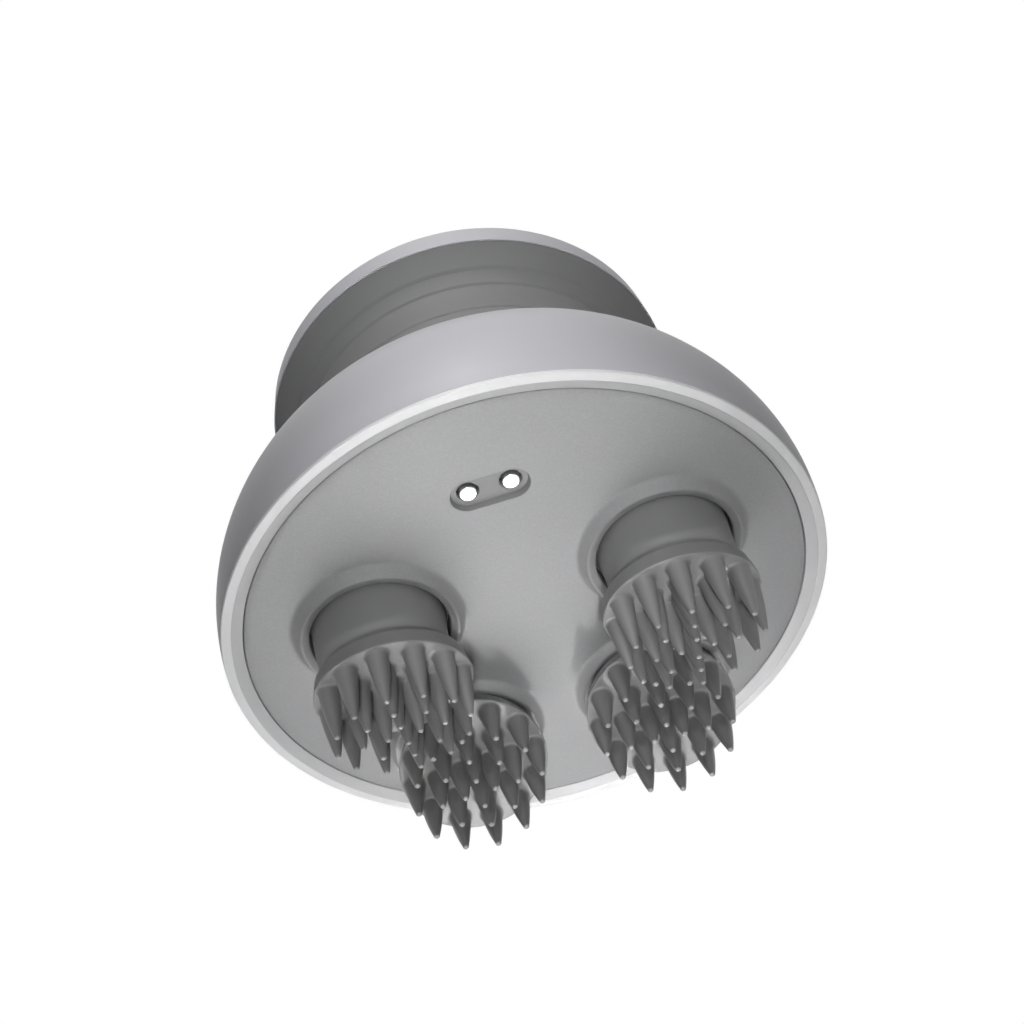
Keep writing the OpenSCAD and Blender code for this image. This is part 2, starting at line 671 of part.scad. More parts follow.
module claw_pad(k) {
    face_edge = 0.35;
    back_edge = 0.4;
    r = head_d / 2;
    disc_z = -head_back - pad_skin;
    flare_r = r - head_taper - 1.7;
    color([0.44, 0.44, 0.45]) {
        difference() {
            union() {
                at_head(k) translate([0, 0, -head_drop]) rotate_extrude($fn = 96) polygon(concat(
                    [[0, 0]],
                    arc(r - face_edge, face_edge, face_edge, 270, 360, 4),
                    arc(r - head_taper - back_edge, head_t - back_edge, back_edge, 0, 90, 4),
                    [[0, head_t]]));
                throat(k, 0, head_back + pad_skin / 2);
                at_head(k) translate([0, 0, -head_back - small])
                    cylinder(r1 = flare_r, r2 = flare_r - 4.8, h = 4.1, $fn = 96);
            }
            throat(k, throat_wall, head_back - 0.3);
            at_pivot(k) translate([0, 0, -throat_top - small])
                cylinder(r = throat_r - throat_wall, h = 1, $fn = 96);
            at_head(k) translate([0, 0, disc_z]) cylinder(r = stem_r + seat_fit, h = head_drop);
            at_head(k) translate([0, 0, disc_z - carrier_disc_t - seat_fit])
                cylinder(r = head_d / 2 - pad_wall + seat_fit,
                         h = carrier_disc_t + 2 * seat_fit, $fn = 96);
        }
        at_head(k) translate([0, 0, -head_drop])
            for (spot = claw_spots) translate([spot.x, spot.y, 0]) claw();
    }
}

// --- gear train -----------------------------------------------------------
function involute(a) = tan(a) - a * PI / 180;
function tooth_half(teeth, r) =
    let (pitch_r = gear_module * teeth / 2, base_r = pitch_r * cos(20))
    (180 / PI) * (PI / (2 * teeth) - backlash / (4 * pitch_r)
        + involute(20) - (r > base_r ? involute(acos(base_r / r)) : 0));
function gear_outline(teeth, phase) =
    let (pitch_r = gear_module * teeth / 2,
         root_r = pitch_r - 1.25 * gear_module, tip_r = pitch_r + 0.95 * gear_module,
         radii = [root_r, pitch_r - 0.4 * gear_module, pitch_r + 0.3 * gear_module, tip_r])
    [for (i = [0:teeth - 1]) for (j = [0:7])
        let (side = j < 4 ? -1 : 1, r = radii[j < 4 ? j : 7 - j],
             a = phase + 360 * i / teeth + side * tooth_half(teeth, r))
        [r * cos(a), r * sin(a)]];
// Turns a crank gear so that a gap faces each tooth of the sun gear
function crank_phase(k) =
    head_angles[k] * (1 + sun_teeth / crank_teeth) + 180 + 180 / crank_teeth;

module sun_gear() {
    face_z = (gear_h - gear_face_w) / 2;
    color("ivory") at_rim() translate([0, drive_y, gear_z]) difference() {
        union() {
            translate([0, 0, face_z]) linear_extrude(gear_face_w)
                polygon(gear_outline(sun_teeth, 0));
            cylinder(r = sun_hub_d / 2, h = gear_h);
        }
        translate([0, 0, -1]) cylinder(r = shaft_d / 2 + seat_fit, h = gear_h + 2);
        for (a = [30:60:330]) rotate([0, 0, a])
            translate([gear_module * sun_teeth * 0.29, 0, -1]) cylinder(r = 2.4, h = gear_h + 2);
    }
}

module drive_shaft() {
    bottom = frame_z + 0.6;
    top = upper_top_z + 3;
    color("silver") at_rim() translate([0, drive_y, bottom]) {
        cylinder(r = shaft_d / 2, h = top - bottom);
        translate([0, 0, gear_z + gear_h + 0.05 - bottom])
            cylinder(r = shaft_d / 2 + 0.9, h = 0.6);
    }
}

module crank_gear(k) {
    face_z = gear_z + (gear_h - gear_face_w) / 2;
    color("ivory") at_rim() difference() {
        translate([head_at(k).x, head_at(k).y, 0]) union() {
            translate([0, 0, frame_z - 0.2]) cylinder(r = journal_d / 2, h = journal_top_z - frame_z + 0.2);
            translate([0, 0, gear_z]) cylinder(r = journal_d / 2 + 1.6, h = gear_h);
            translate([0, 0, face_z]) linear_extrude(gear_face_w)
                polygon(gear_outline(crank_teeth, crank_phase(k)));
        }
        translate(head_at(k)) rotate([-wobble, 0, 0])
            cylinder(r = bush_d / 2 + seat_fit, h = cavity_z - pivot_z + 1);
        translate([head_at(k).x, head_at(k).y, cavity_z])
            cylinder(r = cavity_d / 2, h = journal_top_z - cavity_z + 1);
    }
}

module pin_bush(k) {
    low = (frame_z - pivot_z) / cos(wobble) + 0.2;
    high = (cavity_z - pivot_z) / cos(wobble) - 0.1;
    color("peru") at_pivot(k) translate([0, 0, low])
        ring(bush_d / 2, pin_d / 2 + run_fit, high - low);
}

module frame_plate(t) {
    difference() {
        cylinder(r = frame_r, h = t, $fn = 96);
        at_each([for (k = [FR:RL]) head_at(k)]) translate([0, 0, -1])
            cylinder(r = journal_d / 2 + run_fit, h = t + 2, $fn = 96);
        at_each(frame_posts) translate([0, 0, -1]) cylinder(r = clear_r, h = t + 2);
        for (s = [-1, 1]) translate([s * contact_pitch / 2, -contact_y, -1])
            cylinder(r = 2.2, h = t + 2);
    }
}

module gear_frame_lower() {
    color([0.55, 0.57, 0.6]) at_rim() difference() {
        union() {
            translate([0, 0, frame_z]) frame_plate(frame_t);
            at_each(frame_posts) translate([0, 0, lower_top_z - small])
                ring(post_d / 2, clear_r, upper_z - lower_top_z + small);
            translate([0, drive_y, lower_top_z - small])
                cylinder(r = sun_hub_d / 2, h = axial_play - 0.1);
        }
        translate([0, drive_y, frame_z + 0.6])
            cylinder(r = shaft_d / 2 + run_fit, h = frame_t + 2);
    }
}

module gear_frame_upper() {
    color([0.55, 0.57, 0.6]) at_rim() difference() {
        union() {
            translate([0, 0, upper_z]) frame_plate(frame_t);
            at_each(grip_posts) translate([0, 0, upper_top_z - small])
                cylinder(r = post_d / 2, h = flange_top_z - flange_t - upper_top_z + small);
        }
        translate([0, drive_y, upper_z - 1]) cylinder(r = 4 + seat_fit, h = frame_t + 2);
        at_each(grip_posts) translate([0, 0, upper_top_z + 0.6])
            cylinder(r = pilot_r, h = flange_top_z - upper_top_z);
        for (s = [-1, 1]) translate([s * gearbox_screw_r, drive_y, upper_z - 1]) {
            cylinder(r = clear_r, h = frame_t + 2);
            cylinder(r = screw_head_d / 2 + screw_play, h = 1 + screw_head_h);
        }
    }
}

module frame_screws() {
    color("silver") at_rim() at_each(frame_posts) translate([0, 0, upper_top_z])
        screw(upper_top_z - plate_top_z);
}

module grip_screws() {
    length = flange_top_z + flange_t - upper_top_z - 1.2;
    color("silver") at_rim() at_each(grip_posts)
        translate([0, 0, flange_top_z + flange_t]) screw(length);
}

module gearbox_screws() {
    color("silver") at_rim() for (s = [-1, 1])
        translate([s * gearbox_screw_r, drive_y, upper_z + screw_head_h])
        rotate([180, 0, 0]) screw(frame_t - screw_head_h + gearbox_thread);
}

module gearbox() {
    color("slategray") at_rim() translate([0, drive_y, upper_top_z]) difference() {
        union() {
            cylinder(r = motor_d / 2, h = gearbox_h);
            translate([0, 0, -1.2]) cylinder(r = 4, h = 1.2 + small);
        }
        translate([0, 0, -2]) cylinder(r = shaft_d / 2 + run_fit, h = 5 + axial_play);
        for (s = [-1, 1]) translate([s * gearbox_screw_r, 0, -1])
            cylinder(r = pilot_r, h = gearbox_thread + 1.5);
    }
}

module motor() {
    color("silver") at_rim() translate([0, drive_y, upper_top_z + gearbox_h]) {
        cylinder(r = motor_d / 2, h = motor_h - 1.2);
        translate([0, 0, motor_h - 1.2 - small]) cylinder(r = motor_d / 2 - 2.4, h = 1.2 + small);
        translate([0, 0, motor_h - small]) cylinder(r = 3, h = 1.5);
    }
}

module motor_terminals() {
    color("gold") at_rim() for (s = [-1, 1])
        translate([s * terminal_x - 1, drive_y - 0.4, upper_top_z + gearbox_h + motor_h])
        cube([2, 0.8, terminal_h]);
}

// --- battery and electronics ----------------------------------------------
module battery_tray() {
    wall = 1.2;
    color([0.85, 0.85, 0.86]) at_rim() difference() {
        union() {
            translate([0, 0, tray_z]) cylinder(r = neck_in_r - 0.1, h = tray_t);
            for (s = [-1, 1]) translate([-6, s * (battery_w / 2 + 0.3 + wall / 2) - wall / 2, tray_z])
                cube([12, wall, tray_t + battery_t * 0.6]);
            at_each(board_posts) translate([0, 0, tray_z])
                cylinder(r = board_post_d / 2, h = board_z - tray_z);
        }
        at_each(board_posts) translate([0, 0, tray_z - 1])
            cylinder(r = clear_r, h = board_z - tray_z + 2);
        translate([-wire_x - 1.2, -wire_y - 2, tray_z - 1])
            cube([2 * wire_x + 2.4, 4, tray_t + 2]);
        translate([-terminal_x - 2.5, wire_y - 2, tray_z - 1])
            cube([2 * terminal_x + 5, 4, tray_t + 2]);
    }
}

module battery() {
    color("steelblue") at_rim() translate([-battery_l / 2, -battery_w / 2, battery_z])
        union() {
            translate([1, 0, 0]) cube([battery_l - 2, battery_w, battery_t]);
            translate([0, 1, 1]) cube([battery_l, battery_w - 2, battery_t - 2]);
        }
}

module main_board() {
    color("darkgreen") at_rim() difference() {
        translate([0, 0, board_z]) cylinder(r = board_d / 2, h = board_t);
        at_each(board_posts) translate([0, 0, board_z - 1]) cylinder(r = clear_r, h = board_t + 2);
    }
}

module board_screws() {
    color("silver") at_rim() at_each(board_posts) translate([0, 0, board_top_z])
        screw(board_top_z - tray_z + ledge_w - 1);
}

// The processor, the motor driver, the battery's connector and the capacitor
module board_parts() {
    blocks = [[0, processor_w, processor_w, processor_h], [190, driver_l, driver_w, driver_h],
              [90, connector_l, connector_w, connector_h]];
    color([0.12, 0.12, 0.13]) at_rim() translate([0, 0, board_top_z]) {
        for (b = blocks) translate([parts_r * cos(b[0]) - b[1] / 2, parts_r * sin(b[0]) - b[2] / 2, 0])
            cube([b[1], b[2], b[3]]);
        translate([parts_r * cos(155), parts_r * sin(155), 0])
            cylinder(r = capacitor_d / 2, h = capacitor_h);
    }
}

module status_leds() {
    led_r = (light_in_r + light_out_r) / 2;
    color("white") at_rim() for (a = [45:90:315]) rotate([0, 0, a])
        translate([led_r - 0.8, -0.8, board_top_z]) cube([1.6, 1.6, 0.8]);
}

module tact_switch() {
    color([0.2, 0.2, 0.21]) at_rim() difference() {
        translate([-3, -3, board_top_z]) cube([6, 6, switch_h]);
        translate([0, 0, board_top_z + 0.8]) cylinder(r = 1.6 + run_fit, h = switch_h);
    }
}

module switch_plunger() {
    low = board_top_z + 0.8 + button_travel + plunger_gap;
    color("white") at_rim() translate([0, 0, low])
        cylinder(r = 1.6, h = board_top_z + switch_h + 1.2 - low);
}

// A lead as round runs between the points of its route
module lead(route, r) {
    for (i = [0:len(route) - 2]) {
        a = route[i];
        b = route[i + 1];
        d = b - a;
        translate(a) rotate([0, acos(d.z / norm(d)), atan2(d.y, d.x)])
            cylinder(r = r, h = norm(d), $fn = 24);
        if (i > 0) translate(a) sphere(r = r * 1.1, $fn = 24);
    }
}

module contact_leads() {
    pin_top = plate_top_z + housing_h + pin_flange_h;
    turn_z = upper_top_z + 4;
    color("firebrick") at_rim() for (s = [-1, 1]) lead([
        [s * contact_pitch / 2, -contact_y, pin_top],
        [s * contact_pitch / 2, -contact_y, upper_top_z + 1],
        [s * wire_x, -contact_y, turn_z],
        [s * wire_x, -wire_y, turn_z + contact_y - wire_y],
        [s * wire_x, -wire_y, board_z]], wire_r);
}

module motor_leads() {
    terminal_z = upper_top_z + gearbox_h + motor_h + terminal_h;
    color("navy") at_rim() for (s = [-1, 1]) lead([
        [s * terminal_x, drive_y, terminal_z], [s * terminal_x, drive_y, terminal_z + 0.7],
        [s * terminal_x, wire_y, terminal_z + 0.7], [s * terminal_x, wire_y, board_z]], wire_r);
}

rim_ring();
body_shell();
grip_shell();
cap_shell();
cap_gasket();
light_ring();
power_button();
base_plate();
base_gasket();
contact_housing();
contact_pins();
seal_boot(FR);  // seal_boot_front_right
seal_boot(FL);  // seal_boot_front_left
seal_boot(RR);  // seal_boot_rear_right
seal_boot(RL);  // seal_boot_rear_left
head_pin(FR);  // head_pin_front_right
head_pin(FL);  // head_pin_front_left
head_pin(RR);  // head_pin_rear_right
head_pin(RL);  // head_pin_rear_left
pin_clip(FR);  // pin_clip_front_right
pin_clip(FL);  // pin_clip_front_left
pin_clip(RR);  // pin_clip_rear_right
pin_clip(RL);  // pin_clip_rear_left
head_carrier(FR);  // head_carrier_front_right
head_carrier(FL);  // head_carrier_front_left
head_carrier(RR);  // head_carrier_rear_right
head_carrier(RL);  // head_carrier_rear_left
claw_pad(FR);  // claw_pad_front_right
claw_pad(FL);  // claw_pad_front_left
claw_pad(RR);  // claw_pad_rear_right
claw_pad(RL);  // claw_pad_rear_left
crank_gear(FR);  // crank_gear_front_right
crank_gear(FL);  // crank_gear_front_left
crank_gear(RR);  // crank_gear_rear_right
crank_gear(RL);  // crank_gear_rear_left
pin_bush(FR);  // pin_bush_front_right
pin_bush(FL);  // pin_bush_front_left
pin_bush(RR);  // pin_bush_rear_right
pin_bush(RL);  // pin_bush_rear_left
sun_gear();
drive_shaft();
gear_frame_lower();
gear_frame_upper();
frame_screws();
grip_screws();
gearbox_screws();
gearbox();
motor();
motor_terminals();
battery_tray();
battery();
main_board();
board_screws();
board_parts();
status_leds();
tact_switch();
switch_plunger();
contact_leads();
motor_leads();
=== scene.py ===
# %% [markdown]
# # Electric scalp massager
#
# A domed body on four driven claw heads, with a waisted grip and a mushroom
# cap that carries the power button. The CAD frame already holds every solid
# in its place, so this file dresses the hidden ones and rebuilds the ones
# that show, with the small radii, seams and textures that a moulded product
# has.
#
# Lengths are millimetres unless a comment says otherwise, and heights are
# measured from the flat face of the rim ring, which is the plane that the
# part's own source uses too. Blender works in metres, so meshes are scaled
# by `MM` when they are linked.

import json
from math import acos, asin, atan2, ceil, cos, degrees, hypot, pi, radians, sin, sqrt

import bmesh
import bpy
from mathutils import Matrix, Vector
from mathutils.geometry import delaunay_2d_cdt


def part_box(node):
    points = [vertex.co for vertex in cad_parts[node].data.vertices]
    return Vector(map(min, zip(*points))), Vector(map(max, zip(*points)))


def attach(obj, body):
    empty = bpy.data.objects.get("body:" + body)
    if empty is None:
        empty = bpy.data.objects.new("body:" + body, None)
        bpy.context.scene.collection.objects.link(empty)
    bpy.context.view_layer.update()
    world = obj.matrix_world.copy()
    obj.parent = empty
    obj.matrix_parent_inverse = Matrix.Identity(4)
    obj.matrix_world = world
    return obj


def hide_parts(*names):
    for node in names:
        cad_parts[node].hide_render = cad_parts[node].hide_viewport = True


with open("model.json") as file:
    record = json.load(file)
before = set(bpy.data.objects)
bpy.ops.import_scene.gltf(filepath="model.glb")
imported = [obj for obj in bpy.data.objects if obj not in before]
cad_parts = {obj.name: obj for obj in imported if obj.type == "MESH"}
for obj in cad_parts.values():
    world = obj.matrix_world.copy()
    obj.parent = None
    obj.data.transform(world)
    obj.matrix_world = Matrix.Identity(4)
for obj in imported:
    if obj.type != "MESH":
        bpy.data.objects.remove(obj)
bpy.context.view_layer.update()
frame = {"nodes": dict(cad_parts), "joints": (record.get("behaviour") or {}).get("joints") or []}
nodes = frame["nodes"]
MM = 0.001
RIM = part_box("rim_ring")[0][2] / MM
AT_RIM = Matrix.Translation((0, 0, RIM))
print("rim plane at", round(RIM, 3), "mm,", len(nodes), "solids")

# %% [markdown]
# ## Sizes
#
# The driving sizes of what shows. The body's side is one large arc that runs
# into the neck through a smaller one, and the neck flares out again under
# the cap. Each head hangs from a pivot inside the body; its joint in the
# frame gives that point and the pin's axis, so neither is written here.

# %% Sizes of the casing
rim_r = 52.5
rim_face_w, rim_chamfer_w, rim_chamfer_h, chamfer_lap = 1.6, 1.8, 0.9, 0.12
rim_edge_h, rim_ring_h, shell_seat_w, shell_foot_h = 0.6, 3.4, 0.9, 1.2
side_r, side_z = 34.6, 6.6
body_wall = 2.4
neck_r, foot_fillet, head_fillet = 34.7, 4.0, 10.0
grip_wall, grip_rim_h, grip_rim_w = 2.2, 2.2, 1.8
flange_drop, flange_t, flange_w = 1.4, 2.3, 5.5
groove_drops, groove_r = (3.1, 6.1, 13.2), 0.45
cap_r, cap_top_r, cap_edge_z, cap_side_h = 40.9, 40.55, 60.0, 4.5
cap_round, dome_rise, dome_lap, cap_wall = 1.8, 2.9, 0.6, 2.2
cap_lip_w, cap_step_w, cap_gasket_t = 0.28, 0.7, 1.0
print("casing:", 2 * rim_r, "mm across the rim and", 2 * cap_r, "mm across the cap")

# %% Sizes of the button
button_r, button_proud, button_gap, button_dish = 9.5, 0.9, 0.3, 0.3
button_wall, button_top_t, button_drop = 1.4, 1.8, 1.1
button_stem_r, button_stem_h = 1.8, 5.6
light_w, light_flange_w, light_flange_t = 2.0, 1.6, 0.9
print("button:", 2 * button_r, "mm across")

# %% Sizes of the underside
plate_r, plate_z, plate_crown, plate_flat_r, plate_t = 48.4, 0.1, 0.8, 38.0, 3.0
plate_edge_w, skirt_h, skirt_w = 0.42, 4.6, 3.0
gasket_seat_depth, gasket_low_z, gasket_high_z, gasket_edge = 1.2, 1.3, 3.0, 0.05
collar_in_r, collar_in_h = 11.8, 1.7
collar_ridge_r, collar_h = 13.2, 2.1
collar_out_r = 14.5
tube_wall, tube_h = 1.6, 1.4
contact_y, contact_pitch, contact_r, contact_hole_r = 32.2, 7.0, 1.45, 1.8
pin_set_back, pin_rise, pin_shoulder_w, pin_shoulder_t = 0.5, 3.0, 0.6, 0.8
recess_l, recess_w, recess_depth, recess_draft = 13.0, 6.0, 1.1, 0.25
print("plate:", 2 * plate_r, "mm across with", contact_pitch, "mm between the contacts")

# %% Sizes of the heads
head_r, head_t, head_taper, head_drop = 13.2, 3.2, 0.7, 16.3
head_lean = 14.0
lean_headings = {"front_right": 95, "front_left": 85, "rear_right": 258, "rear_left": 282}
claw_rings = ((2.65, 4), (6.7, 8), (10.95, 12))
claw_l, claw_base_r, claw_mid_r, claw_neck_r, claw_tip_r = 8.4, 1.85, 1.38, 0.55, 0.55
claw_foot_round, claw_tip_run, claw_polish_and_highlight_angle = 0.45, 0.2, 42
throat_r, throat_top, throat_low_r, throat_low, throat_wall = 11.3, 4.0, 10.4, 15.8, 1.5
throat_end_r, throat_bend_start, throat_bend_power = 11.2, 0.35, 1.5
throat_flare, flare_inset = 1.3, 0.35
joints = {j["name"]: j for j in frame["joints"]}
print("heads:", len(lean_headings), "with", sum(count for _, count in claw_rings), "claws each")

# %% [markdown]
# ## Mesh helpers
#
# Almost every visible piece is turned: an outline of (radius, height) points
# swept about an axis. Bevel modifiers would round the corners too, but then
# the radii depend on the mesh. Here a point may carry a third number, its
# corner's radius, and `rounded` turns that into a short arc. Long straight
# runs get a support ring near each end, so that smooth shading stays flat
# up to the corner.

# %% Outlines
def arc(cx, cz, r, a0, a1, n=12):
    """Points on a circle from angle a0 to a1, in degrees."""
    angles = [radians(a0 + (a1 - a0) * i / n) for i in range(n + 1)]
    return [(cx + r * cos(a), cz + r * sin(a)) for a in angles]


def corner(before, point, after, radius, steps=5):
    """The arc that rounds one corner of an outline."""
    p, a, b = Vector(point), Vector(before), Vector(after)
    u, v = (a - p).normalized(), (b - p).normalized()
    half = acos(max(-1.0, min(1.0, u.dot(v)))) / 2
    if half > radians(88):
        return [tuple(p)]
    reach = min(radius * cos(half) / sin(half), 0.48 * (a - p).length, 0.48 * (b - p).length)
    radius = reach * sin(half) / cos(half)
    centre = p + (u + v).normalized() * radius / sin(half)
    start, end = p + u * reach - centre, p + v * reach - centre
    swing = atan2(start.x * end.y - start.y * end.x, start.dot(end))
    turns = [swing * k / steps for k in range(steps + 1)]
    return [
        (centre.x + start.x * cos(t) - start.y * sin(t), centre.y + start.x * sin(t) + start.y * cos(t))
        for t in turns
    ]


def rounded(points, closed=False):
    """An outline whose points may carry a corner radius as a third number."""
    out = []
    last = len(points) - 1
    for i, point in enumerate(points):
        if len(point) == 3 and (closed or 0 < i < last):
            out += corner(points[i - 1][:2], point[:2], points[(i + 1) % (last + 1)][:2], point[2])
        else:
            out.append(tuple(point[:2]))
    return out + out[:1] if closed else out


def supported(outline, long=0.7, near=0.12):
    """Adds a point close to both ends of every long run."""
    out = outline[:1]
    for a, b in zip(outline[:-1], outline[1:]):
        length = hypot(b[0] - a[0], b[1] - a[1])
        if length > long:
            for share in (near / length, 1 - near / length):
                out.append((a[0] + (b[0] - a[0]) * share, a[1] + (b[1] - a[1]) * share))
        out.append(b)
    return out


# %% Turned pieces
def link(name, bm, finish):
    """A new smooth object from a bmesh in millimetres, with its finish and material slot."""
    bmesh.ops.scale(bm, vec=(MM, MM, MM), verts=bm.verts)
    bmesh.ops.recalc_face_normals(bm, faces=bm.faces)
    mesh = bpy.data.meshes.new(name)
    bm.to_mesh(mesh)
    bm.free()
    mesh.polygons.foreach_set("use_smooth", [True] * len(mesh.polygons))
    obj = bpy.data.objects.new(name, mesh)
    bpy.context.scene.collection.objects.link(obj)
    obj.data.materials.append(finish)
    return obj


def skin(bm, rings, material=0):
    """Faces between neighbouring rings of vertices; a ring of one vertex is a pole."""
    for low, high in zip(rings[:-1], rings[1:]):
        count = max(len(low), len(high))
        for k in range(count):
            m = (k + 1) % count
            corners = [low[k % len(low)], low[m % len(low)], high[m % len(high)], high[k % len(high)]]
            face = [v for i, v in enumerate(corners) if v not in corners[:i]]
            if len(face) > 2:
                bm.faces.new(face).material_index = material


def turn_into(bm, outline, segments, place, material=0):
    """Adds an outline swept about the Z axis of place to a bmesh."""
    angles = [2 * pi * k / segments for k in range(segments)]
    rings = []
    for r, z in outline:
        spots = [(0, 0, z)] if r < 1e-6 else [(r * cos(a), r * sin(a), z) for a in angles]
        rings.append([bm.verts.new(place @ Vector(spot)) for spot in spots])
    skin(bm, rings, material)


def turned(name, outline, finish, segments=256, place=AT_RIM):
    """A turned piece about the body's axis, with heights from the rim's plane."""
    bm = bmesh.new()
    turn_into(bm, supported(outline), segments, place)
    bmesh.ops.remove_doubles(bm, verts=bm.verts, dist=1e-5)
    return link(name, bm, finish)


def stands_in(piece, body, *names):
    """The piece replaces solids of one body and moves with it."""
    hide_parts(*names)
    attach(piece, body)
    print(piece.name, "stands in for", *names, "with", len(piece.data.polygons), "faces")
    return piece


# %% [markdown]
# ## Shader helpers
#
# A material is maths on sockets. `Value` wraps one output socket so that a
# sum or product in Python adds the Math node that does it, and `Shader`
# holds one node tree with a single method for every other node. A `Finish`
# is the shader of one material; the world at the end is a `Shader` as well.

# %% Values and shaders
class Value:
    """A socket's output that can be used in arithmetic."""

    def __init__(self, shader, socket):
        self.shader, self.socket = shader, socket

    def math(self, operation, a, b):
        return self.shader.node("ShaderNodeMath", "Value", {"operation": operation}, a, b)

    def __add__(self, other):
        return self.math("ADD", self, other)

    def __sub__(self, other):
        return self.math("SUBTRACT", self, other)

    def __rsub__(self, other):
        return self.math("SUBTRACT", other, self)

    def __mul__(self, other):
        return self.math("MULTIPLY", self, other)

    def __lt__(self, other):
        return self.math("LESS_THAN", self, other)

    __radd__ = __add__
    __rmul__ = __mul__


def usable(slots, name):
    """The first enabled socket with a name, whose spaces may be written as underscores."""
    return next(slot for slot in slots if slot.enabled and slot.name == name.replace("_", " "))


class Shader:
    """A node tree, with one method that adds any node."""

    def __init__(self, owner):
        owner.use_nodes = True
        self.tree = owner.node_tree

    def feed(self, slot, item):
        """Links a value to a socket, or sets a constant on it."""
        if isinstance(item, Value):
            self.tree.links.new(item.socket, slot)
        elif slot.type == "RGBA" and len(item) == 3:
            slot.default_value = (*item, 1.0)
        else:
            slot.default_value = item

    def node(self, kind, output, settings=None, *ordered, **named):
        """Adds a node with its settings, feeds its inputs in order or by name, gives one output."""
        made = self.tree.nodes.new(kind)
        for key, item in (settings or {}).items():
            setattr(made, key, item)
        for slot, item in zip(made.inputs, ordered):
            self.feed(slot, item)
        for name, item in named.items():
            self.feed(usable(made.inputs, name), item)
        return Value(self, usable(made.outputs, output))

    def choose(self, factor, a, b):
        """Shader a where the factor is 0, and shader b where it is 1."""
        return self.node("ShaderNodeMixShader", "Shader", None, factor, a, b)

    def show(self, value, end):
        """Makes a shader the surface of the tree's own output node."""
        self.feed(self.tree.nodes[end].inputs["Surface"], value)


# %% Finishes
class Finish(Shader):
    """One procedural material."""

    def __init__(self, name):
        self.material = bpy.data.materials.new(name)
        super().__init__(self.material)
        self.surface = self.tree.nodes["Principled BSDF"]
        self.spot = self.node("ShaderNodeTexCoord", "Object")

    def noise(self, size, detail=2.0, roughness=0.5, vector=None):
        """Clouds of about the given size in millimetres, from 0 to 1."""
        return self.node("ShaderNodeTexNoise", "Fac", Vector=vector or self.spot,
                         Scale=1.0 / (size * MM), Detail=detail, Roughness=roughness)

    def cells(self, size, feature="F1"):
        """Distances in a pattern of cells of about the given size in millimetres."""
        return self.node("ShaderNodeTexVoronoi", "Distance", {"feature": feature},
                         Vector=self.spot, Scale=1.0 / (size * MM))

    def spread(self, value, low, high, from_low=0.3, from_high=0.7):
        """Stretches the middle of a pattern over the range from low to high."""
        return self.node("ShaderNodeMapRange", "Result", Value=value, From_Min=from_low,
                         From_Max=from_high, To_Min=low, To_Max=high)

    def mix(self, factor, a, b):
        return self.node("ShaderNodeMix", "Result", {"data_type": "RGBA"}, Factor=factor, A=a, B=b)

    def bump(self, height, depth):
        """A normal from a relief of the given depth in millimetres."""
        return self.node("ShaderNodeBump", "Normal", Height=height, Distance=depth * MM)

    def put(self, **inputs):
        """Feeds the inputs of the material's surface."""
        for name, item in inputs.items():
            self.feed(usable(self.surface.inputs, name), item)
        return self.material


def shade(colour, factor):
    """A colour made lighter or darker."""
    return tuple(min(1.0, c * factor) for c in colour)


# %% [markdown]
# ## Finishes
#
# Moulded plastic and silicone share one recipe: a fine grain that lifts the
# surface by a few micrometres and breaks up the gloss, under a slow drift
# of colour and gloss across the piece, as a mould and a year of handling
# leave it. Only the grain's size and depth, the gloss and the colour differ.

# %% Moulded plastic and rubber
def moulded(name, colour, rough, grain, depth, coat=0.0, vary=0.04, shine=0.5):
    """A moulding, with the size and depth of its grain in millimetres."""
    f = Finish(name)
    slow = f.noise(14, detail=3.0)
    fine = f.noise(grain, detail=3.0, roughness=0.6)
    f.put(
        Base_Color=f.mix(slow, shade(colour, 1 - vary), shade(colour, 1 + vary)),
        Roughness=f.spread(fine * 0.6 + slow * 0.4, rough - 0.05, rough + 0.06),
        Normal=f.bump(fine, depth),
        Specular_IOR_Level=shine,
    )
    if coat:
        f.put(Coat_Weight=coat, Coat_Roughness=0.2)
    return f.material


# %% [markdown]
# Turned and drawn metal shows fine lines along one axis. The noise that
# draws them is stretched by scaling its coordinates before it reads them.

# %% Metal
def metal(name, colour, rough, stretch=(1, 1, 12), size=0.5):
    """Bare metal with lines of the given width in millimetres."""
    f = Finish(name)
    along = f.node("ShaderNodeMapping", "Vector", Vector=f.spot, Scale=stretch)
    lines = f.noise(size, detail=3.0, roughness=0.6, vector=along)
    return f.put(
        Base_Color=f.mix(f.noise(7), shade(colour, 0.9), shade(colour, 1.06)),
        Metallic=1.0,
        Roughness=f.spread(lines, rough - 0.07, rough + 0.1),
        Normal=f.bump(lines, depth=0.006),
    )


# %% [markdown]
# The base plate has a spark-eroded texture: tiny pits of one size, which
# cells draw, with finer noise on them. The pits are a little darker than the
# land between them, and the gloss drifts slowly across the plate. The recess
# around the contacts has the same texture, and its copy of the finish has
# both greys scaled down: painted shade for the recess.

# %% The base plate's finish
PIT_GREY, LAND_GREY = (0.262, 0.262, 0.264), (0.295, 0.295, 0.297)
# How much darker the recess's copy of the plate finish is: painted shade in the recess
RECESS_PAINTED_SHADE = 0.7
pit_size, pit_noise_size, pit_depth = 0.34, 0.16, 0.010


def plate_finish(name, factor=1.0):
    """Spark-eroded plastic, with its greys scaled by the factor."""
    f = Finish(name)
    relief = f.cells(pit_size) * 0.7 + f.noise(pit_noise_size, detail=3.0, roughness=0.65) * 0.6
    land = f.spread(relief, 0, 1, from_low=0.3, from_high=0.9)
    return f.put(
        Base_Color=f.mix(land, shade(PIT_GREY, factor), shade(LAND_GREY, factor)),
        Roughness=f.spread(f.noise(18), 0.46, 0.54),
        Normal=f.bump(relief, pit_depth),
    )


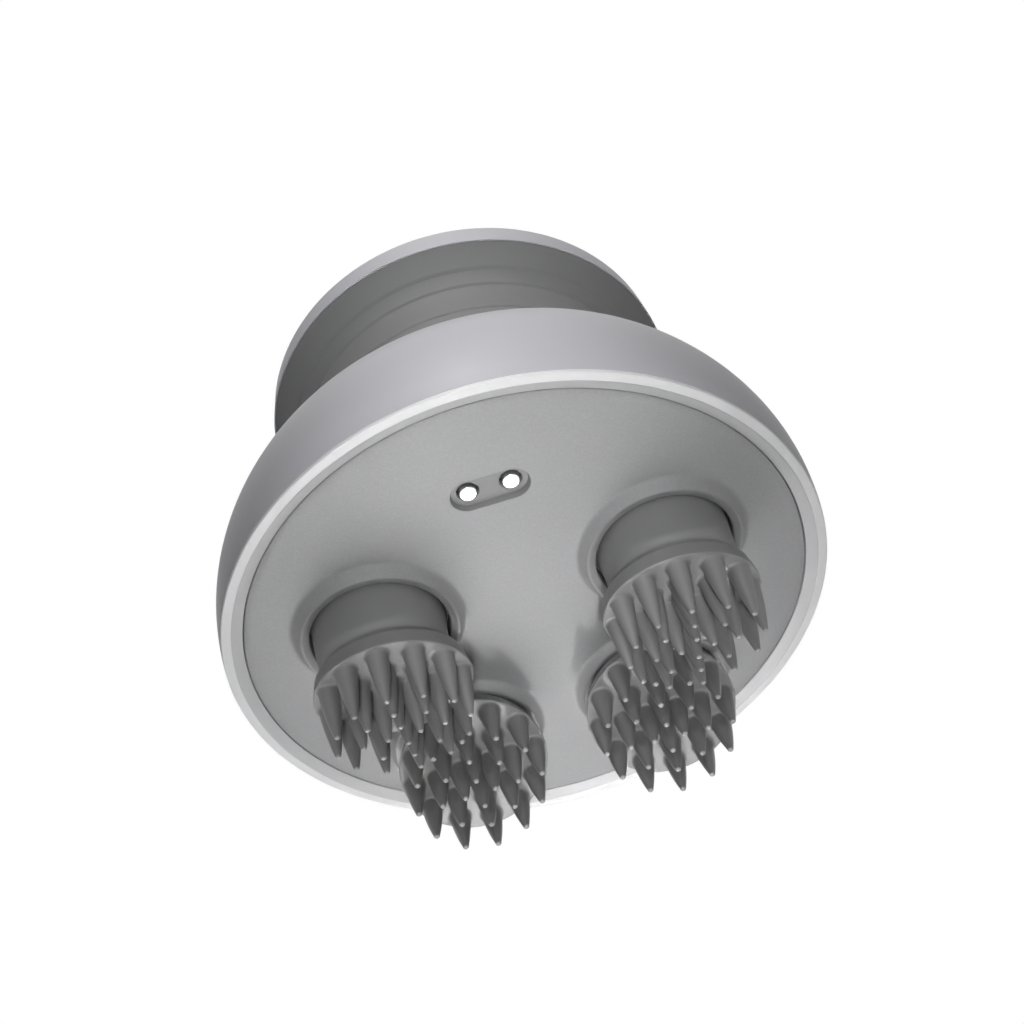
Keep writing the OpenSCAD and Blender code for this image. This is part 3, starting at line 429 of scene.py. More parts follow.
# %% The circuit board's finish
MASK_GREEN, TRACK_GREEN = (0.012, 0.10, 0.045), (0.03, 0.19, 0.08)


def board_finish():
    """Solder-masked laminate with faint tracks under the mask."""
    f = Finish("board_green")
    tracks = f.cells(2.4, "DISTANCE_TO_EDGE") < 0.10
    return f.put(
        Base_Color=f.mix(tracks, MASK_GREEN, TRACK_GREEN),
        Roughness=f.spread(f.noise(0.8), 0.28, 0.4),
        Normal=f.bump(tracks, depth=0.02),
    )


# %% The set of finishes
LAVENDER = (0.52, 0.514, 0.546)
satin = moulded("satin_lavender", LAVENDER, 0.42, 0.25, 0.004, vary=0.015, shine=0.15)
white = moulded("satin_white", (0.76, 0.76, 0.765), 0.42, 0.25, 0.004, vary=0.01, shine=0.2)
# The rim's white, darkened for its inner chamfer: painted shade
chamfer_painted_shade = moulded("satin_chamfer_painted_shade", (0.50, 0.50, 0.505), 0.4, 0.25, 0.004, vary=0.01)
silicone = moulded("silicone_grey", (0.215, 0.215, 0.215), 0.42, 0.35, 0.006, vary=0.03)
# The claws' tips: glossier silicone, drawn a lighter grey that is a painted highlight
silicone_tip_painted_highlight = moulded("silicone_tip_painted_highlight", (0.34, 0.34, 0.34), 0.25, 0.35, 0.003, vary=0.03)
rubber = moulded("grip_rubber", (0.205, 0.205, 0.205), 0.6, 0.22, 0.008, vary=0.03, shine=0.2)
seal = moulded("seal_rubber", (0.16, 0.16, 0.16), 0.55, 0.3, 0.006)
nylon = moulded("nylon_dark", (0.14, 0.14, 0.145), 0.5, 0.3, 0.006)
acetal = moulded("acetal_ivory", (0.74, 0.70, 0.60), 0.42, 0.5, 0.005)
frame_nylon = moulded("nylon_slate", (0.19, 0.21, 0.24), 0.55, 0.35, 0.012)
tray_abs = moulded("abs_light", (0.60, 0.60, 0.61), 0.5, 0.4, 0.008)
opal = moulded("opal_light_pipe", (0.86, 0.88, 0.90), 0.25, 0.6, 0.002, coat=0.3, vary=0.01)
steel = metal("ground_steel", (0.60, 0.60, 0.61), 0.3)
can_steel = metal("can_steel", (0.52, 0.53, 0.54), 0.34, (1, 1, 0.15), 0.35)
bronze = metal("sintered_bronze", (0.50, 0.33, 0.17), 0.45, (1, 1, 1), 0.3)
gold = metal("gold_plate", (0.80, 0.60, 0.26), 0.28)
nickel = metal("bright_nickel", (0.96, 0.95, 0.94), 0.12, (1, 1, 1), 0.8)
wrap_blue = moulded("battery_wrap", (0.07, 0.16, 0.34), 0.3, 1.2, 0.02, coat=0.3)
chip = moulded("chip_black", (0.02, 0.02, 0.022), 0.42, 0.2, 0.006)
red_wire = moulded("wire_red", (0.45, 0.03, 0.025), 0.38, 0.6, 0.004)
blue_wire = moulded("wire_blue", (0.03, 0.06, 0.35), 0.38, 0.6, 0.004)
plate_grey, recess_painted_shade = plate_finish("plate_grey"), plate_finish("recess_painted_shade", RECESS_PAINTED_SHADE)
board_green = board_finish()
print(len(bpy.data.materials), "finishes")

# %% [markdown]
# ## The hidden solids
#
# Seals, gears, pins, screws, the motor and the battery keep their CAD
# solids. Each gets the finish of its real counterpart; the longest key that
# starts a node's name decides.

# %% Dressing the CAD solids
FINISH = {
    "rim_ring": white, "body_shell": satin, "grip_shell": rubber, "cap_shell": satin,
    "cap_gasket": seal, "light_ring": opal, "power_button": satin, "base_plate": plate_grey,
    "base_gasket": seal, "contact_housing": nylon, "contact_pins": nickel, "seal_boot": seal,
    "head_pin": steel, "pin_clip": can_steel, "head_carrier": nylon, "claw_pad": silicone,
    "crank_gear": acetal, "pin_bush": bronze, "sun_gear": acetal, "drive_shaft": steel,
    "gear_frame": frame_nylon, "frame_screws": steel, "grip_screws": steel,
    "gearbox_screws": steel, "gearbox": can_steel, "motor": can_steel, "motor_terminals": gold,
    "battery_tray": tray_abs, "battery": wrap_blue, "main_board": board_green,
    "board_screws": steel, "board_parts": chip, "status_leds": opal, "tact_switch": chip,
    "switch_plunger": acetal, "contact_leads": red_wire, "motor_leads": blue_wire,
}
for name, obj in nodes.items():
    key = max((key for key in FINISH if name.startswith(key)), key=len)
    obj.data.materials.clear()
    obj.data.materials.append(FINISH[key])
print(len(nodes), "solids dressed")

# %% [markdown]
# ## The casing
#
# Rim ring, body, grip and cap are turned. Their seams are what tells one
# part from the next, so every outline ends in a small radius where it meets
# its neighbour, and stands `seam` back from it. Two such radii leave the
# fine dark line of a real joint.

# %% Body
seam = 0.02
side_c = rim_r - sqrt(side_r**2 - side_z**2)
foot_c = neck_r + foot_fillet
foot_c_z = side_z + sqrt((side_r + foot_fillet) ** 2 - (foot_c - side_c) ** 2)
foot_angle = degrees(atan2(foot_c_z - side_z, foot_c - side_c))
foot_r = side_c + side_r * cos(radians(foot_angle))
foot_z = side_z + side_r * sin(radians(foot_angle))
flange_top_z = foot_z - flange_drop


def side_angle(z, inset=0.0):
    """Where a height lies on the side's arc, in degrees."""
    return degrees(asin((z - side_z) / (side_r - inset)))


def side_at(z):
    """The radius of the side at a height."""
    return side_c + sqrt(side_r**2 - (z - side_z) ** 2)


shell_in_r = rim_r - rim_face_w - rim_chamfer_w + shell_seat_w
under_z = flange_top_z - flange_t
flange_in_r = neck_r - grip_wall - flange_w
body_outer = arc(side_c, side_z, side_r, side_angle(rim_edge_h), foot_angle, 60)
body_inner = arc(side_c, side_z, side_r - body_wall, side_angle(under_z, body_wall),
                 side_angle(rim_ring_h + shell_foot_h, body_wall), 24)
body = turned(
    "body",
    rounded(
        [(*body_outer[0], 0.15), *body_outer[1:-1], (*body_outer[-1], 0.25),
         (foot_r, flange_top_z), (flange_in_r, flange_top_z), (flange_in_r, under_z), *body_inner,
         (shell_in_r, rim_ring_h), (shell_in_r, rim_edge_h)],
        closed=True,
    ),
    satin,
)
stands_in(body, "casing", "body_shell")

# %% [markdown]
# The rim ring is near white on its face. Its inner chamfer leads down to
# the base plate and is a piece of its own here, with a darker copy of the
# rim's white finish: painted shade on the chamfer.

# %% Rim ring
rim_in_r = rim_r - rim_face_w
chamfer_in_r = rim_in_r - rim_chamfer_w - chamfer_lap
rim_ring = turned(
    "rim_ring_face",
    rounded(
        [(rim_in_r, 0, 0.12), (rim_in_r, rim_ring_h), (shell_in_r - seam, rim_ring_h),
         (shell_in_r - seam, rim_edge_h), (side_at(rim_edge_h), rim_edge_h, 0.12), (rim_r, 0, 0.22)],
        closed=True,
    ),
    white,
)
rim_chamfer = turned(
    "rim_ring_chamfer",
    rounded(
        [(rim_in_r, seam), (chamfer_in_r, rim_chamfer_h, 0.15), (chamfer_in_r, rim_ring_h),
         (rim_in_r, rim_ring_h)],
        closed=True,
    ),
    chamfer_painted_shade,
)
stands_in(rim_ring, "casing", "rim_ring")
stands_in(rim_chamfer, "casing", "rim_ring")

# %% [markdown]
# The grip is a soft-touch shell with three fine grooves for the fingers. A
# groove is cut into the outline itself: between its two edges the radius
# dips by half a cosine wave, which leaves soft lips. At its top the flare
# ends in a thin step, so that the cap's lip beside it stays narrow.

# %% Grip
groove_half, groove_steps = 0.9 * groove_r, 8
head_c = neck_r + head_fillet
head_c_z = cap_edge_z - sqrt(head_fillet**2 - (head_c - cap_r) ** 2)
grip_rim_r = cap_r - cap_step_w - seam
flare_end_r = cap_r - cap_lip_w - seam


def flare_at(r):
    """The height at which the flare under the cap reaches a radius."""
    return head_c_z + sqrt(head_fillet**2 - (head_c - r) ** 2)


def grip_at(z):
    """The grip's outer radius, without its grooves."""
    if z < foot_c_z:
        return foot_c - sqrt(foot_fillet**2 - (z - foot_c_z) ** 2)
    if z < head_c_z:
        return neck_r
    return head_c - sqrt(head_fillet**2 - (z - head_c_z) ** 2)


def grooved(z):
    """The grip's outer radius with its grooves."""
    for drop in groove_drops:
        u = (z - cap_edge_z + drop) / groove_half
        if abs(u) < 1:
            return grip_at(z) - groove_r * (1 + cos(pi * u)) / 2
    return grip_at(z)


flare_end_z, grip_rim_top_z = flare_at(flare_end_r), flare_at(grip_rim_r) + grip_rim_h
grip_heights = {foot_z + (flare_end_z - foot_z) * k / 60 for k in range(61)}
for drop in groove_drops:
    for k in range(-groove_steps - 1, groove_steps + 2):
        grip_heights.add(cap_edge_z - drop + groove_half * k / groove_steps)
grip_heights = sorted(z for z in grip_heights if foot_z <= z <= flare_end_z)
neck_in_r, lip_top_z = neck_r - grip_wall, cap_edge_z + cap_lip_w
grip_bore = [
    (flare_end_r, lip_top_z), (grip_rim_r, lip_top_z), (grip_rim_r, grip_rim_top_z),
    (grip_rim_r - grip_rim_w, grip_rim_top_z),
    *arc(head_c, head_c_z, head_fillet + grip_wall, 133, 180, 10),
    (neck_in_r, flange_top_z + flange_t), (flange_in_r, flange_top_z + flange_t),
    (flange_in_r, flange_top_z),
]
grip = turned(
    "grip",
    rounded(
        [(foot_r - seam, flange_top_z), (foot_r - seam, foot_z, 0.2),
         *[(grooved(z), z) for z in grip_heights[1:]], *grip_bore],
        closed=True,
    ),
    rubber,
)
stands_in(grip, "casing", "grip_shell")

# %% [markdown]
# The cap is a shallow dome with a rounded edge. The button sits in a ring of
# light-guiding plastic, and both have small radii against the cap.

# %% Cap
round_c, round_z = cap_top_r - cap_round, cap_edge_z + cap_side_h
dome_edge_r = round_c + dome_lap
dome_r = (dome_edge_r**2 + dome_rise**2) / (2 * dome_rise)
dome_tilt = degrees(asin(round_c / (dome_r - cap_round)))
dome_c = round_z - (dome_r - cap_round) * cos(radians(dome_tilt))
light_in_r = button_r + button_gap
light_out_r = light_in_r + light_w
cap_seat_z = grip_rim_top_z + cap_gasket_t + seam


def dome_z(r, inset=0.0):
    """The dome's height at a radius, or that of a face inset from it."""
    return dome_c + sqrt((dome_r - inset) ** 2 - r * r)


def dome_run(r0, r1, inset=0.0, n=24):
    """Points along the dome from one radius to another."""
    radii = [r0 + (r1 - r0) * k / n for k in range(n + 1)]
    return [(r, dome_z(r, inset)) for r in radii]


cap_outer = arc(round_c, round_z, cap_round, 0, 90 - dome_tilt, 16)
cap_dome = dome_run(round_c, light_out_r)
cap_under = dome_run(light_out_r, round_c, cap_wall)
cap = turned(
    "cap",
    rounded(
        [(cap_r - cap_lip_w, cap_edge_z, 0.08), (cap_r, cap_edge_z, 0.15), *cap_outer,
         *cap_dome[1:-1], (*cap_dome[-1], 0.15), *cap_under, (cap_top_r - cap_wall, round_z - 0.4),
         (cap_top_r - cap_wall, cap_seat_z), (cap_r - cap_step_w, cap_seat_z),
         (cap_r - cap_step_w, lip_top_z + seam), (cap_r - cap_lip_w, lip_top_z + seam)],
        closed=True,
    ),
    satin,
)
stands_in(cap, "casing", "cap_shell")

# %% Light ring
light_seat_r = light_out_r + light_flange_w
light_seat_z = dome_z(light_seat_r, cap_wall) - light_flange_t
light_flange_z = light_seat_z + light_flange_t - seam
light_ring = turned(
    "light_guide",
    rounded(
        [(light_in_r, dome_z(light_in_r), 0.25), (light_out_r - seam, dome_z(light_out_r), 0.15),
         (light_out_r - seam, light_flange_z), (light_seat_r, light_flange_z),
         (light_seat_r, light_seat_z), (light_in_r, light_seat_z)],
        closed=True,
    ),
    opal,
    segments=160,
)
stands_in(light_ring, "casing", "light_ring")

# %% Button
button_top_z = dome_z(0) + button_proud
button_foot_z, button_in_z = light_seat_z - button_drop, button_top_z - button_top_t
button_in_r, button_stem_z = button_r - button_wall, cap_edge_z + button_stem_h
button = turned(
    "button",
    rounded(
        [(0, button_top_z - button_dish), (3.5, button_top_z - button_dish * 0.8),
         (6.2, button_top_z - button_dish * 0.25), (button_r - 1.5, button_top_z),
         (button_r, button_top_z, 0.7), (button_r, button_foot_z), (button_in_r, button_foot_z),
         (button_in_r, button_in_z), (button_stem_r, button_in_z), (button_stem_r, button_stem_z),
         (0, button_stem_z)]
    ),
    satin,
    segments=160,
)
stands_in(button, "button", "power_button")

# %% [markdown]
# ## The base plate
#
# The plate is one moulding: a shallow crown with four raised collars and a
# long recess around the charging contacts. Booleans between turned pieces
# would leave hard lines where a collar meets the crown, so the underside is
# one relief instead, a height for each point of the plane. Where two forms
# meet, the lower of both is taken with a small fillet between them. The
# points follow the forms: rings around each collar, hole and recess, and a
# plain triangular net between.

# %% The plate's relief
HEADS = {
    side: Vector(joints["head_nod_" + side]["pos_m"]) / MM - Vector((0, 0, RIM))
    for side in lean_headings
}
contact_xs = [side * contact_pitch / 2 for side in (-1, 1)]
edge_r = plate_r + plate_edge_w
collar_reach, lip_reach, hole_reach = collar_out_r + 2, 1.2, 1.0
blend = 0.5
crown = rounded([(0, plate_z), (plate_flat_r, plate_z, 100), (edge_r, plate_z + plate_crown, 0.2),
                 (edge_r, plate_z + 2)])
collar = rounded([(collar_in_r, plate_z - 1), (collar_in_r, plate_z - collar_in_h, 0.22),
                  (collar_ridge_r - 0.25, plate_z - collar_h, 0.3),
                  (collar_ridge_r + 0.15, plate_z - collar_h, 0.25),
                  (collar_out_r + 0.75, plate_z + 1.2)])
recess_lip = rounded([(lip_reach, 0), (0, 0, 0.12), (-recess_draft, recess_depth, 0.1),
                      (-lip_reach, recess_depth)])
hole_lip = rounded([(contact_hole_r, 0.6), (contact_hole_r, 0, 0.18),
                    (contact_hole_r + hole_reach, 0)])


def height_at(outline, x):
    """The height of an outline whose first number rises, at x."""
    for (xa, za), (xb, zb) in zip(outline[:-1], outline[1:]):
        if x <= xb:
            return za + (zb - za) * max(0.0, x - xa) / max(xb - xa, 1e-9)
    return outline[-1][1]


def recess_distance(x, y):
    """How far a point lies outside the recess; negative inside."""
    along = max(0.0, abs(x) - (recess_l - recess_w) / 2)
    return hypot(along, y + contact_y) - recess_w / 2


def plate_height(x, y):
    """The height of the plate's underside at a point."""
    z = height_at(crown, hypot(x, y))
    for c in HEADS.values():
        d = hypot(x - c.x, y - c.y)
        if d < collar_reach:
            other = height_at(collar, d)
            overlap = max(0.0, blend - abs(z - other)) / blend
            z = min(z, other) - overlap**2 * blend / 4
    s = recess_distance(x, y)
    if s < lip_reach:
        z += height_at(recess_lip[::-1], s)
    for contact_x in contact_xs:
        d = hypot(x - contact_x, y + contact_y)
        if d < contact_hole_r + hole_reach:
            z += height_at(hole_lip, d)
    return z


# %% The plate's points
plate_segments, collar_segments, hole_segments = 288, 192, 48
recess_spacing, recess_rings = 0.45, (0.55, 0.85, -0.6)
crown_rings_from, outer_rings = 44, (45.8, 46.8, 47.5)


def ring_points(cx, cy, r, count, shift=0.0):
    """Points on a circle, turned by a share of their spacing."""
    angles = [2 * pi * (k + shift) / count for k in range(count)]
    return [Vector((cx + r * cos(a), cy + r * sin(a))) for a in angles]


def recess_points(offset):
    """Points along the recess's outline, moved outwards by offset."""
    r, half = recess_w / 2 + offset, (recess_l - recess_w) / 2
    bend = ceil(pi * recess_w / 2 / recess_spacing)
    run = max(4, ceil(2 * half / recess_spacing))
    right_end = [(half + r * sin(pi * k / bend), -r * cos(pi * k / bend)) for k in range(bend + 1)]
    top_run = [(half - 2 * half * k / run, r) for k in range(1, run)]
    left_end = [(-x, -y) for x, y in right_end]
    low_run = [(-x, -y) for x, y in top_run]
    return [Vector((x, y - contact_y)) for x, y in right_end + top_run + left_end + low_run]


plate_points, holes = [], []


def add_rings(cx, cy, radii, count):
    """Rings of points, each turned by half a spacing against the one before."""
    for i, r in enumerate(radii):
        plate_points.extend(ring_points(cx, cy, r, count, 0.5 * (i % 2)))


collar_radii = sorted({round(d, 3) for d, _ in collar if collar_in_r + 0.01 < d < collar_out_r + 0.6})
collar_radii += [collar_in_r + grow for grow in (0.6, 0.95)]
collar_radii += [collar_out_r + grow for grow in (-0.4, -0.1, 0.15, 0.45, 0.8, 1.3, 2.0)]
for c in HEADS.values():
    holes.append(ring_points(c.x, c.y, collar_in_r, collar_segments))
    add_rings(c.x, c.y, collar_radii, collar_segments)
hole_radii = [contact_hole_r + grow for grow in (0.01, 0.04, 0.09, 0.18, 0.32, 0.55)]
for x in contact_xs:
    holes.append(ring_points(x, -contact_y, contact_hole_r, hole_segments))
    add_rings(x, -contact_y, hole_radii, hole_segments)
for offset in [s for s, _ in recess_lip if s > -0.7] + list(recess_rings):
    plate_points += recess_points(offset)
for i, (r, _) in enumerate(crown):
    if crown_rings_from < r < edge_r - 0.005:
        plate_points += ring_points(0, 0, r, plate_segments, 0.5 * (i % 2))
add_rings(0, 0, outer_rings, plate_segments)
print("plate:", len(plate_points), "points along its forms")

# %% The net between the forms
net_r, net_step, net_row_step, net_rows, net_room = 45, 1.5, 0.866, 36, 0.6
floor_step, floor_columns, floor_ys = 0.6, 9, (-0.9, -0.3, 0.3, 0.9, -1.5, 1.5, -2.1, 2.1)
floor_room = 0.75


def open_ground(x, y):
    """Whether a point lies clear of every form."""
    if hypot(x, y) > net_r - net_room:
        return False
    if any(hypot(x - c.x, y - c.y) < collar_reach + net_room for c in HEADS.values()):
        return False
    return recess_distance(x, y) > max(recess_rings) + net_room


def open_floor(x, y):
    """Whether a point of the recess's floor lies clear of its wall and of both holes."""
    if recess_distance(x, y) >= -floor_room:
        return False
    return all(hypot(x - cx, y + contact_y) > contact_hole_r + floor_room for cx in contact_xs)


for row in range(-net_rows, net_rows + 1):
    for column in range(-net_rows, net_rows + 1):
        x, y = (column + 0.5 * (row % 2)) * net_step, row * net_step * net_row_step
        if open_ground(x, y):
            plate_points.append(Vector((x, y)))
for column in range(-floor_columns, floor_columns + 1):
    for y in floor_ys:
        if open_floor(column * floor_step, y - contact_y):
            plate_points.append(Vector((column * floor_step, y - contact_y)))
print("plate:", len(plate_points), "points with the net")


# %% The plate's mesh
def net(points, loops):
    """Triangles over the points, inside the first loop and outside the rest."""
    flat, spans = list(points), []
    for loop in loops:
        spans.append(range(len(flat), len(flat) + len(loop)))
        flat += loop
    edges = [(span[k], span[(k + 1) % len(span)]) for span in spans for k in range(len(span))]
    spots, _, faces, sources, _, _ = delaunay_2d_cdt(flat, edges, [], 0, 1e-5)
    made_from = {i: k for k, several in enumerate(sources) for i in several}
    rims = [[made_from[i] for i in span] for span in spans]
    hole_of = {k: n for n, rim in enumerate(rims) if n for k in rim}

    def in_a_hole(face):
        owners = {hole_of.get(k) for k in face}
        return len(owners) == 1 and None not in owners

    return spots, [face for face in faces if not in_a_hole(face)], rims


def circle_verts(bm, cx, cy, r, z, count):
    """A ring of vertices at one height."""
    return [bm.verts.new((p.x, p.y, z)) for p in ring_points(cx, cy, r, count)]


plate_top_z = plate_z + plate_t
collar_top_z, tube_r = plate_top_z + tube_h, collar_in_r + tube_wall
skirt_in_r, skirt_top_z = plate_r - skirt_w, plate_z + plate_crown + skirt_h
gasket_seat_r = plate_r - gasket_seat_depth
recess_edge = 0.02

bm = bmesh.new()
spots, faces, rims = net(plate_points, [ring_points(0, 0, edge_r, plate_segments)] + holes)
under = [bm.verts.new((p.x, p.y, plate_height(p.x, p.y))) for p in spots]
# Faces in the recess get the plate finish's darker copy, which paints the recess's shade
for face in faces:
    in_recess = max(recess_distance(*spots[k]) for k in face) < recess_edge
    bm.faces.new([under[k] for k in face]).material_index = int(in_recess)
inner_loops = [ring_points(0, 0, skirt_in_r, plate_segments)]
inner_loops += [ring_points(c.x, c.y, tube_r, collar_segments) for c in HEADS.values()]
inner_loops += [ring_points(x, -contact_y, contact_hole_r, hole_segments) for x in contact_xs]
spots, faces, inner_rims = net([], inner_loops)
inside = [bm.verts.new((p.x, p.y, plate_top_z)) for p in spots]
for face in faces:
    bm.faces.new([inside[k] for k in face])

# %% The plate's walls
skirt = [
    (edge_r, gasket_low_z - gasket_edge), (plate_r, gasket_low_z),
    (gasket_seat_r, gasket_low_z + gasket_edge), (gasket_seat_r, gasket_high_z - gasket_edge),
    (plate_r, gasket_high_z), (plate_r, skirt_top_z), (skirt_in_r, skirt_top_z),
]
tube = [(collar_in_r, collar_top_z), (tube_r, collar_top_z)]
walls = [skirt] + [tube] * len(HEADS) + [[]] * len(contact_xs)
centres = [(0, 0)] + [(c.x, c.y) for c in HEADS.values()] + [(x, -contact_y) for x in contact_xs]
for (cx, cy), wall, rim, inner_rim in zip(centres, walls, rims, inner_rims):
    between = [circle_verts(bm, cx, cy, r, z, len(rim)) for r, z in wall]
    skin(bm, [[under[k] for k in rim], *between, [inside[k] for k in inner_rim]])

# %% The plate's screw posts
frame_r, post_r, post_bore_r, post_foot, post_top_z = 42, 3.5, 1.27, 0.6, 8.4
grip_post_y, beside_r, beside_angle = 29.7, 6.3, radians(35)
side_post_x, side_post_y = frame_r - post_r - 3, 9
front_post_x, front_post_y = frame_r * 0.45, -frame_r * 0.69
posts = [
    (beside_r * cos(beside_angle), grip_post_y + beside_r * sin(beside_angle)),
    (side_post_x, side_post_y), (-side_post_x, side_post_y),
    (front_post_x, front_post_y), (-front_post_x, front_post_y),
]
post_foot_z = plate_top_z - post_foot
post = [(post_bore_r, post_foot_z), (post_r, post_foot_z), (post_r, post_top_z),
        (post_bore_r, post_top_z), (post_bore_r, post_foot_z)]
for x, y in posts:
    turn_into(bm, post, 48, Matrix.Translation((x, y, 0)))
bmesh.ops.transform(bm, matrix=AT_RIM, verts=bm.verts)
plate = link("base_plate_relief", bm, plate_grey)
plate.data.materials.append(recess_painted_shade)
stands_in(plate, "casing", "base_plate")

# %% [markdown]
# The two contacts stand in their holes a little below the plate's face, as
# sprung pins do, with a rounded edge. They are the only bright metal that
# shows.

# %% Contacts
pin_face_z, pin_top_z = plate_z + pin_set_back, plate_top_z + pin_rise
shoulder_r, shoulder_top_z = contact_r + pin_shoulder_w, pin_top_z + pin_shoulder_t
pin_outline = rounded([(0, pin_face_z), (contact_r, pin_face_z, 0.25), (contact_r, pin_top_z),
                       (shoulder_r, pin_top_z), (shoulder_r, shoulder_top_z), (0, shoulder_top_z)])
bm = bmesh.new()
for x in contact_xs:
    turn_into(bm, supported(pin_outline), 64, AT_RIM @ Matrix.Translation((x, -contact_y, 0)))
contacts = link("contacts", bm, nickel)
stands_in(contacts, "casing", "contact_pins")

# %% [markdown]
# ## The claw heads
#
# Each head is one silicone moulding: a disc with 24 claws on its face and a
# wide throat behind it that reaches into the collar. The disc is turned
# about the head's own leaning axis and the throat's rim about the pin, so
# the throat is drawn as a loft. It starts on a cone about the pin, runs over
# into a circle about the leaning axis, and flares out a little where it
# meets the disc's back.

# %% Where the heads are
def pin_frame(side):
    """Brings geometry drawn about a head's pivot, with the pin upright, into place."""
    lean = Vector(joints["head_nod_" + side]["axis"]).to_track_quat("Z", "Y").to_matrix().to_4x4()
    tilt = Matrix.Rotation(-atan2(lean[1][2], lean[2][2]), 4, "X")
    return AT_RIM @ Matrix.Translation(HEADS[side]) @ tilt


def lean_frame(side):
    """Turns the pin's frame on to the head's leaning axis."""
    heading = Matrix.Rotation(radians(lean_headings[side]), 4, "Z")
    return heading @ Matrix.Rotation(radians(-head_lean), 4, "Y") @ heading.inverted()


# %% Disc and throat
disc_back, disc_back_r = head_drop - head_t, head_r - head_taper
disc_outline = rounded([(0, -disc_back), (disc_back_r, -disc_back, 0.5), (head_r, -head_drop, 0.25),
                        (0, -head_drop)])
skin_lap, floor_lap = 0.05, 0.3


def cone_r(depth):
    """The throat's radius about the pin at a depth below the pivot."""
    return throat_r + (throat_low_r - throat_r) * (depth - throat_top) / (throat_low - throat_top)


def reach(lean, angle, t, inset):
    """How far the throat's cone lies from the head's axis, in one direction and t below the pivot."""
    low, high = 2.0, 16.0
    for _ in range(24):
        r = (low + high) / 2
        p = lean @ Vector((r * cos(angle), r * sin(angle), -t))
        if hypot(p.x, p.y) < cone_r(-p.z) - inset:
            low = r
        else:
            high = r
    return (low + high) / 2


def throat_rings(bm, place, lean, inset, end, flare, steps, segments=128):
    """Rings of the throat's surface from its rim down to the disc."""
    back = lean.inverted()
    rings = [[] for _ in range(steps + 1)]
    start_r = throat_r - inset
    for k in range(segments):
        turn = 2 * pi * k / segments
        rim = back @ Vector((start_r * cos(turn), start_r * sin(turn), -throat_top))
        angle, t0 = atan2(rim.y, rim.x), -rim.z
        for n in range(steps + 1):
            t = t0 + (end - t0) * n / steps
            r = reach(lean, angle, t, inset) if n else hypot(rim.x, rim.y)
            share = max(0.0, n / steps - throat_bend_start) / (1 - throat_bend_start)
            r += (throat_end_r - inset - r) * share**throat_bend_power
            if flare:
                r = min(r + flare * max(0.0, 1 - (end - t) / flare) ** 2, disc_back_r - flare_inset)
            rings[n].append(bm.verts.new(place @ lean @ Vector((r * cos(angle), r * sin(angle), -t))))
    return rings


# %% [markdown]
# A claw narrows in a slight curve from a small foot fillet to a round tip.
# The tip is polished, and drawn a lighter grey as a painted highlight.

# %% Claws
def claw_outline():
    """Radius and distance from the face: the shaft from its foot, and the polished tip, whose lighter
    grey is a painted highlight.
    """
    bend = 2 * (claw_mid_r * 2 - claw_base_r - claw_neck_r) / claw_l**2
    slope = (claw_neck_r - claw_base_r) / claw_l + bend * claw_l
    foot = []
    for a in (0, 22, 45, 68):
        out, up = 1 - sin(radians(a)), 1 - cos(radians(a))
        foot.append((claw_base_r + claw_foot_round * out, claw_foot_round * up))
    shaft = []
    for k in range(13):
        s = claw_foot_round + (claw_l - claw_tip_run - claw_foot_round) * k / 12
        shaft.append((claw_base_r + slope * s - bend * s * s, s))
    ball = arc(0, claw_l, claw_tip_r, 0, claw_polish_and_highlight_angle, 5)
    return foot + shaft + ball, arc(0, claw_l, claw_tip_r, claw_polish_and_highlight_angle, 90, 5)


def downwards(outline):
    """The same outline with its distances as depths."""
    return [(r, -s) for r, s in outline]


claw_shaft, claw_tip = map(downwards, claw_outline())
print("claw:", len(claw_shaft) + len(claw_tip), "points from foot to tip")


# %% Heads
def build_head(side):
    """One head: disc, throat inside and out, and its rings of claws."""
    place, lean = pin_frame(side), lean_frame(side)
    bm = bmesh.new()
    turn_into(bm, supported(disc_outline), 192, place @ lean)
    outer = throat_rings(bm, place, lean, 0.0, disc_back + skin_lap, throat_flare, 28)
    inner = throat_rings(bm, place, lean, throat_wall, disc_back - floor_lap, 0, 6)
    floor = bm.verts.new(place @ lean @ Vector((0, 0, floor_lap - disc_back)))
    skin(bm, outer[::-1] + inner + [[floor]])
    # Each claw's polished tip cap takes the lighter silicone, a painted highlight
    for ring_r, count in claw_rings:
        for k in range(count):
            x, y = ring_r * cos(2 * pi * k / count), ring_r * sin(2 * pi * k / count)
            spot = place @ lean @ Matrix.Translation((x, y, -head_drop))
            turn_into(bm, claw_shaft, 32, spot)
            turn_into(bm, claw_tip, 32, spot, material=1)
    bmesh.ops.remove_doubles(bm, verts=bm.verts, dist=1e-4)
    head = link("claw_head_" + side, bm, silicone)
    head.data.materials.append(silicone_tip_painted_highlight)
    return stands_in(head, "head_" + side, "claw_pad_" + side)


for side in lean_headings:
    build_head(side)

# %% [markdown]
# ## Camera, floor and light
#
# The camera looks up at the underside from in front. Under the object lies a
# plain pale floor that only the camera sees, and only from above, so it
# neither hides the object from below nor lights it. It takes the object's
# shadow and glows enough to stay pale between the lamps. The world is white
# for the camera and in reflections, and lights the object hardly at all.

# %% Camera
def turned_to(azimuth, elevation):
    """The turn of a camera or lamp that stands in this direction, in degrees, and looks back."""
    a, e = radians(azimuth), radians(elevation)
    out = Vector((cos(a) * cos(e), sin(a) * cos(e), sin(e)))
    across = Vector((-sin(a), cos(a), 0))
    return Matrix((across, out.cross(across), out)).transposed().to_4x4()


